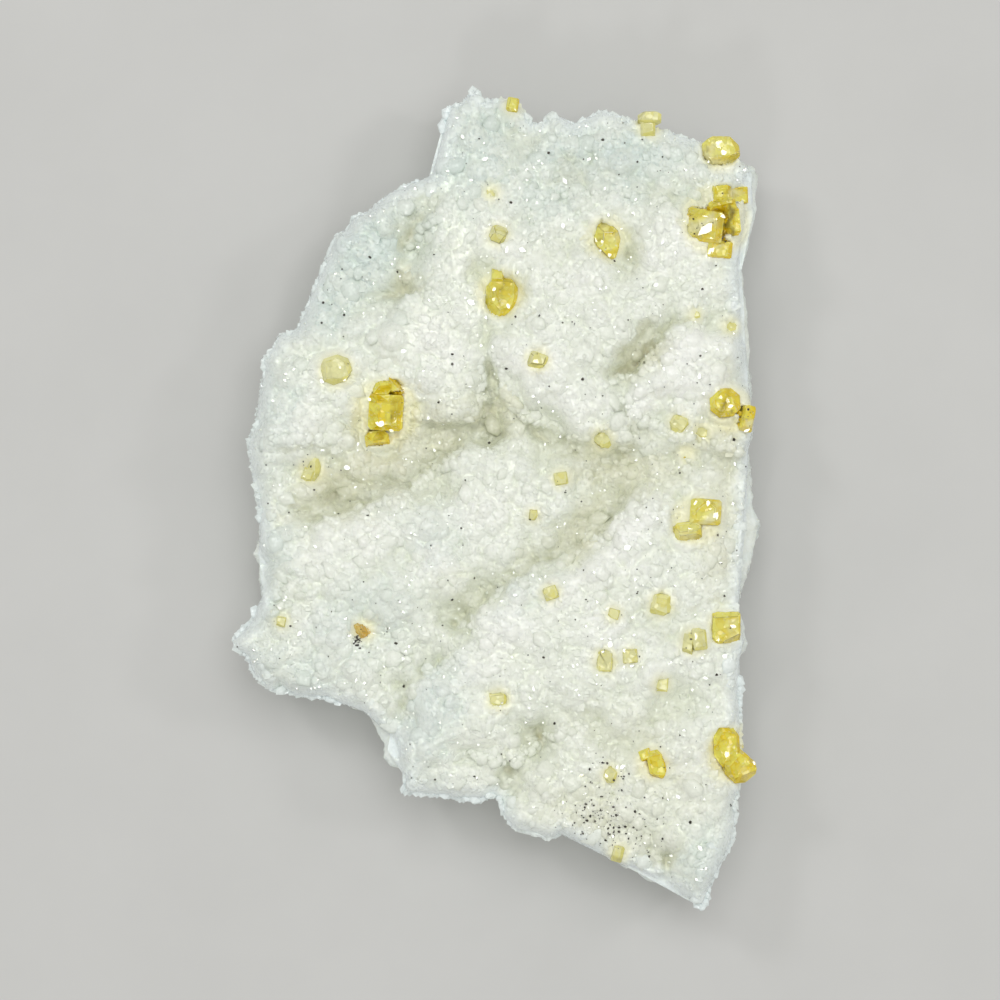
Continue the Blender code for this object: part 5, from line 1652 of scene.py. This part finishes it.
def dress(work, rng):
    """Raises a growth step on each large upper face, bevels the edges and marks some of
    them with a painted line of light (1) or dark (-0.6), and cuts the faces fine."""
    large = [f for f in work.faces if f.calc_area() > STEP_AREA * MM * MM and f.normal.z > 0.2]
    for face in large:
        width = math.sqrt(face.calc_area()) * rng.uniform(*STEP_WIDTH)
        bmesh.ops.inset_individual(
            work, faces=[face], thickness=width, depth=-STEP_HEIGHT * MM, use_even_offset=True)
    dark_and_highlight_edge = work.faces.layers.float.new("edge")
    sharp = [e for e in work.edges if e.is_manifold and e.calc_face_angle(0.0) > SHARP_ANGLE]
    worn = bmesh.ops.bevel(work, geom=sharp, offset=EDGE_WEAR * MM, segments=1, profile=0.5,
                           affect="EDGES", clamp_overlap=True)
    for face in worn["faces"]:
        chance = rng.random()
        # a bright worn edge is a painted line of light
        face[dark_and_highlight_edge] = 1.0 if chance < EDGE_HIGHLIGHT_SHARE else -0.6 if chance > 1.0 - DARK_SHARE else 0.0
    bmesh.ops.recalc_face_normals(work, faces=work.faces)
    bmesh.ops.triangulate(work, faces=work.faces)
    for _ in range(5):
        long_edges = [e for e in work.edges if e.calc_length() > LONGEST_CUT * MM]
        bmesh.ops.subdivide_edges(work, edges=long_edges, cuts=1)
        bmesh.ops.triangulate(work, faces=work.faces)


def numbers_of(elements, key):
    """A vector of every point or face of a mesh, as an array of rows of three."""
    values = np.zeros(len(elements) * 3)
    elements.foreach_get(key, values)
    return values.reshape(-1, 3)


def barite_crystal(name, rng):
    """The dressed copy of a crystal, with values for its material at every point and, on
    every face, how much it faces the sunny side."""
    work = cut_crystals[name]
    dress(work, rng)
    mesh = bpy.data.meshes.new(name + "_crystal")
    work.to_mesh(mesh)
    work.free()
    mesh.shade_flat()
    x, y, _ = numbers_of(mesh.vertices, "co").T / MM
    add_values(mesh, {"lit": numbers_of(mesh.polygons, "normal") @ SUNNY_SIDE}, "FACE")
    add_values(mesh, {"pale": patches(x, y, PALE_AND_SHEEN_PLACES), "deep": patches(x, y, DEEP_PLACES),
                      "dark": patches(x, y, DARK_PLACES)})
    crystal = add_object(name + "_crystal", mesh)
    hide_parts(name)
    return crystal


# %% The barite materials
# pale of real frost, and of painted glints, a painted line of light on edges and a painted sheen
PALE_FROST_AND_HIGHLIGHT = (1.0, 0.965, 0.58, 1.0)
DARK_CORE = (0.30, 0.24, 0.05, 1.0)
DEEPER = 0.68               # how much of its colour a deep place keeps


def make_barite(name, density, tint, bright, deep, clear, frost_cover):
    """Clear barite. The density is how strongly it takes light away, per metre, and the
    tint is what it lets through. Its facets are between the bright and the deep colour,
    the more bright the more they face the sunny side."""
    material, tree, shader = new_material(name)
    facets = calc(tree, "ADD", *facet_bump(tree, shader, (620.0, 1500.0), (0.7, 0.5), 0.0))
    facing = calc(tree, "MULTIPLY_ADD", attribute(tree, "lit"), -2.2, facets)
    frost = from_group(tree, frost_group, Scale=700.0, Cover=frost_cover)["Mask"]
    fine = from_group(tree, facet_group, Scale=4200.0)["Shade"]
    edge = attribute(tree, "edge")
    deepest = tuple(DEEPER * part for part in deep[:3]) + (1.0,)
    color = bright
    # painted light and shade: lemon on facets turned to the sunny side, deep gold on those turned away
    for share, tone in (
            (ramp(tree, facing, -1.0, 0.3), deep), (attribute(tree, "deep"), deepest),
            # pale places, partly a painted sheen
            (times(tree, frost, 0.5), PALE_FROST_AND_HIGHLIGHT), (attribute(tree, "pale"), PALE_FROST_AND_HIGHLIGHT),
            # painted glints on a few fine facets, and a painted line of light on bright worn edges
            (times(tree, ramp(tree, fine, 0.89, 0.93), 0.35), PALE_FROST_AND_HIGHLIGHT), (edge, PALE_FROST_AND_HIGHLIGHT),
            (attribute(tree, "dark"), DARK_CORE), (times(tree, edge, -1.0), DARK_CORE)):
        color = blend(tree, share, color, tone)
    feed(tree, shader, {
        "Base Color": color, "Roughness": ramp(tree, frost, 0.0, 1.0, 0.03, 0.35),
        "IOR": BARITE_IOR, "Transmission Weight": clear})
    volume = node(tree, "VolumeAbsorption", {"Color": tint, "Density": density})
    feed(tree, tree.nodes["Material Output"], {"Volume": volume.outputs[0]})
    return material


BARITE_FINISHES = [     # (name, slot, density, tint, bright, deep, clear, frost, crystals)
    ("golden_barite", "golden_barite", 350.0, (1.0, 0.97, 0.0, 1.0), (1.0, 0.92, 0.13, 1.0),
     (1.0, 0.75, 0.015, 1.0), 0.18, 0.08,
     ["west_block", "east_pair", "east_dark", "southeast_point", "south_tower", "northeast_cluster"]),
    ("lemon_barite", "golden_barite", 250.0, (1.0, 0.97, 0.0, 1.0), (1.0, 0.95, 0.22, 1.0),
     (0.95, 0.77, 0.06, 1.0), 0.18, 0.2,
     ["north_tip", "north_corner", "north_leaf", "centre_block", "east_wing", "southeast_cube"]),
    ("orange_barite", "orange_barite", 300.0, (1.0, 0.80, 0.05, 1.0), (1.0, 0.76, 0.22, 1.0),
     (0.85, 0.50, 0.05, 1.0), 0.25, 0.2, ["southwest_orange"]),
    ("pale_barite", "pale_barite", 120.0, (1.0, 0.98, 0.0, 1.0), (1.0, 0.98, 0.50, 1.0),
     (0.96, 0.90, 0.27, 1.0), 0.2, 0.3, []),     # all the other crystals
]
finishes, finish_of = {}, {}
for name, slot, *numbers, crystals in BARITE_FINISHES:
    finishes[name] = (make_barite(name, *numbers), slot)
    finish_of.update({"barite_" + crystal: name for crystal in crystals})
print("barite finishes:", list(finishes))

# %% The crystals in their finishes
rng = np.random.default_rng(41)
for name in barite_nodes:
    crystal = barite_crystal(name, rng)
    material, slot = finishes[finish_of.get(name, "pale_barite")]
    crystal.data.materials.append(material)
gap_crystals.data.materials.append(finishes["golden_barite"][0])
print("barite crystals:", len(barite_nodes))

# %% [markdown]
# ## Sulfide dust
#
# Last of all, tiny dark sulfide crystals settled on everything: sparse over the whole slab,
# thick in the south, and in a few clumps. Each is a rough lump of twenty faces, a quarter
# of a millimetre wide, set on whatever is highest at its place.

# %% Places of the dust: (east, north, spread, count)
DUST_PATCHES = [
    (14.5, -43.2, 2.9, 90), (12.5, -42.0, 1.6, 30), (18.0, -46.0, 2.4, 30), (17.0, -37.0, 4.0, 16),
    (-19.4, -19.1, 0.35, 26), (-19.0, -18.6, 0.6, 8), (9.6, 23.6, 0.5, 3), (10.0, 24.0, 0.2, 1),
    (-14.0, 8.0, 4.0, 8), (30.0, 11.0, 3.0, 10), (27.0, 38.0, 2.5, 14), (-26.0, 4.5, 1.0, 5),
]
DUST_EVERYWHERE = 330
DUST_RADIUS = (0.08, 0.22)


def lump_shape():
    """Points and faces of a ball of twenty triangles, with its poles up and down: two
    rings of five corners, the lower one half a step further round."""
    level, radius = math.sqrt(0.2), math.sqrt(0.8)
    turns = np.concatenate([np.arange(5), np.arange(5) + 0.5]) * 0.4 * math.pi
    levels = np.repeat([level, -level], 5)
    rings = np.column_stack([radius * np.cos(turns), radius * np.sin(turns), levels])
    points = np.vstack([[[0.0, 0.0, 1.0]], rings, [[0.0, 0.0, -1.0]]])
    i = np.arange(1, 6)
    beside = i % 5 + 1
    faces = [(0 * i, i, beside), (i, i + 5, beside), (beside, i + 5, beside + 5),
             (0 * i + 11, beside + 5, i + 5)]
    return points, np.vstack([np.column_stack(face) for face in faces])


print("grains of dust in clumps:", sum(patch[-1] for patch in DUST_PATCHES))

# %% Dust
rng = np.random.default_rng(51)
clumps = [np.array(middle) + rng.normal(0.0, spread, (count, 2))
          for *middle, spread, count in DUST_PATCHES]
everywhere = anywhere(rng, 4 * DUST_EVERYWHERE).T
everywhere = everywhere[inside_outline(*everywhere.T)][:DUST_EVERYWHERE]
places = np.vstack(clumps + [everywhere])
places = places[on_crust(*places.T, 0.3)]
size = DUST_RADIUS[0] + (DUST_RADIUS[1] - DUST_RADIUS[0]) * rng.random(len(places)) ** 3
level = np.maximum(crust_top(*places.T), crystal_top(*places.T)) + 0.35 * size
lump_points, lump_faces = lump_shape()
lumps = lump_points * rng.uniform(0.7, 1.25, (len(places), 12, 1)) * size[:, None, None]
lumps = lumps * rng.uniform(0.7, 1.3, (len(places), 1, 3))
lumps = lumps + np.column_stack([places, level])[:, None]
faces = (np.arange(len(places)) * 12)[:, None, None] + lump_faces
dust = piece_from_arrays("sulfide_dust", lumps.reshape(-1, 3), [faces.reshape(-1, 3)], {}, smooth=False)


def mottled_material(name, light, dark, scale, roughness, metallic=0.0):
    """A plain finish whose colour wanders between two greys or browns."""
    material, tree, shader = new_material(name)
    mottle = from_group(tree, mottle_group, Light=light, Dark=dark, Scale=scale, Amount=1.0)
    feed(tree, shader, {"Base Color": mottle["Color"], "Roughness": roughness, "Metallic": metallic})
    return material


dust.data.materials.append(mottled_material(
    "dark_sulfide", (0.10, 0.09, 0.07, 1.0), (0.02, 0.018, 0.015, 1.0), 3000.0, 0.35, 0.4))

# %% [markdown]
# ## Floor, light and camera
#
# The slab lies on a plain pale table. A big even sky light and a large soft box above show
# the milkiness, and the three smaller soft boxes that the glinting faces are set to give
# small clear glints. The camera looks straight down from above.

# %% Floor
FLOOR_HALF = 1500.0
corners = np.array([(-1, -1, 0), (1, -1, 0), (1, 1, 0), (-1, 1, 0)]) * FLOOR_HALF
floor = piece_from_arrays("floor", corners, [np.array([[0, 1, 2, 3]])], {}, smooth=False)
floor.data.materials.append(mottled_material(
    "pale_table", (0.62, 0.62, 0.61, 1.0), (0.60, 0.60, 0.59, 1.0), 30.0, 0.9))
floor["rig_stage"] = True

# %% Sky light
world = bpy.data.worlds.new("studio")
bpy.context.scene.world = world
world.use_nodes = True
feed(world.node_tree, world.node_tree.nodes["Background"],
     {"Color": (1.0, 0.995, 0.955, 1.0), "Strength": 0.51})
print("world:", world.name)


# %% Soft boxes
def soft_box(name, bearing, elevation, distance, size, brightness):
    """A square light that faces the slab. Its power is its brightness times pi times its
    area, in metres."""
    light = bpy.data.lights.new(name, "AREA")
    light.shape = "SQUARE"
    light.size = size
    light.energy = brightness * math.pi * size * size
    box = add_object(name, light)
    box.location = Vector(lamp_place(bearing, elevation, distance))
    box.rotation_euler = box.location.to_track_quat("Z", "Y").to_euler()


for box in [("soft_box_above", 20.0, 78.0, 1.0, 0.6, 2.75)] + SOFT_BOXES:
    soft_box(*box)
print("lights:", len(bpy.data.lights))

# %% Camera
CRUST_PLANE = 0.017         # level where the view is FRAME_WIDTH across
FRAME_WIDTH = 0.135
SENSOR = 36.0
camera = add_object("camera", bpy.data.cameras.new("camera"))
camera.data.sensor_width = SENSOR
camera.data.lens = SENSOR * (EYE[2] - CRUST_PLANE) / FRAME_WIDTH
camera.data.clip_start = 0.01
camera.data.clip_end = 10.0
camera.location = EYE
bpy.context.scene.camera = camera
bpy.context.scene.view_settings.view_transform = "Standard"
print("lens:", round(camera.data.lens, 1), "mm")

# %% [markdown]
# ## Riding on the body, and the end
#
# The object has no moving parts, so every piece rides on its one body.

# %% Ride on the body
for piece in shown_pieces():
    if "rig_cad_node" not in piece:
        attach(piece, "root")
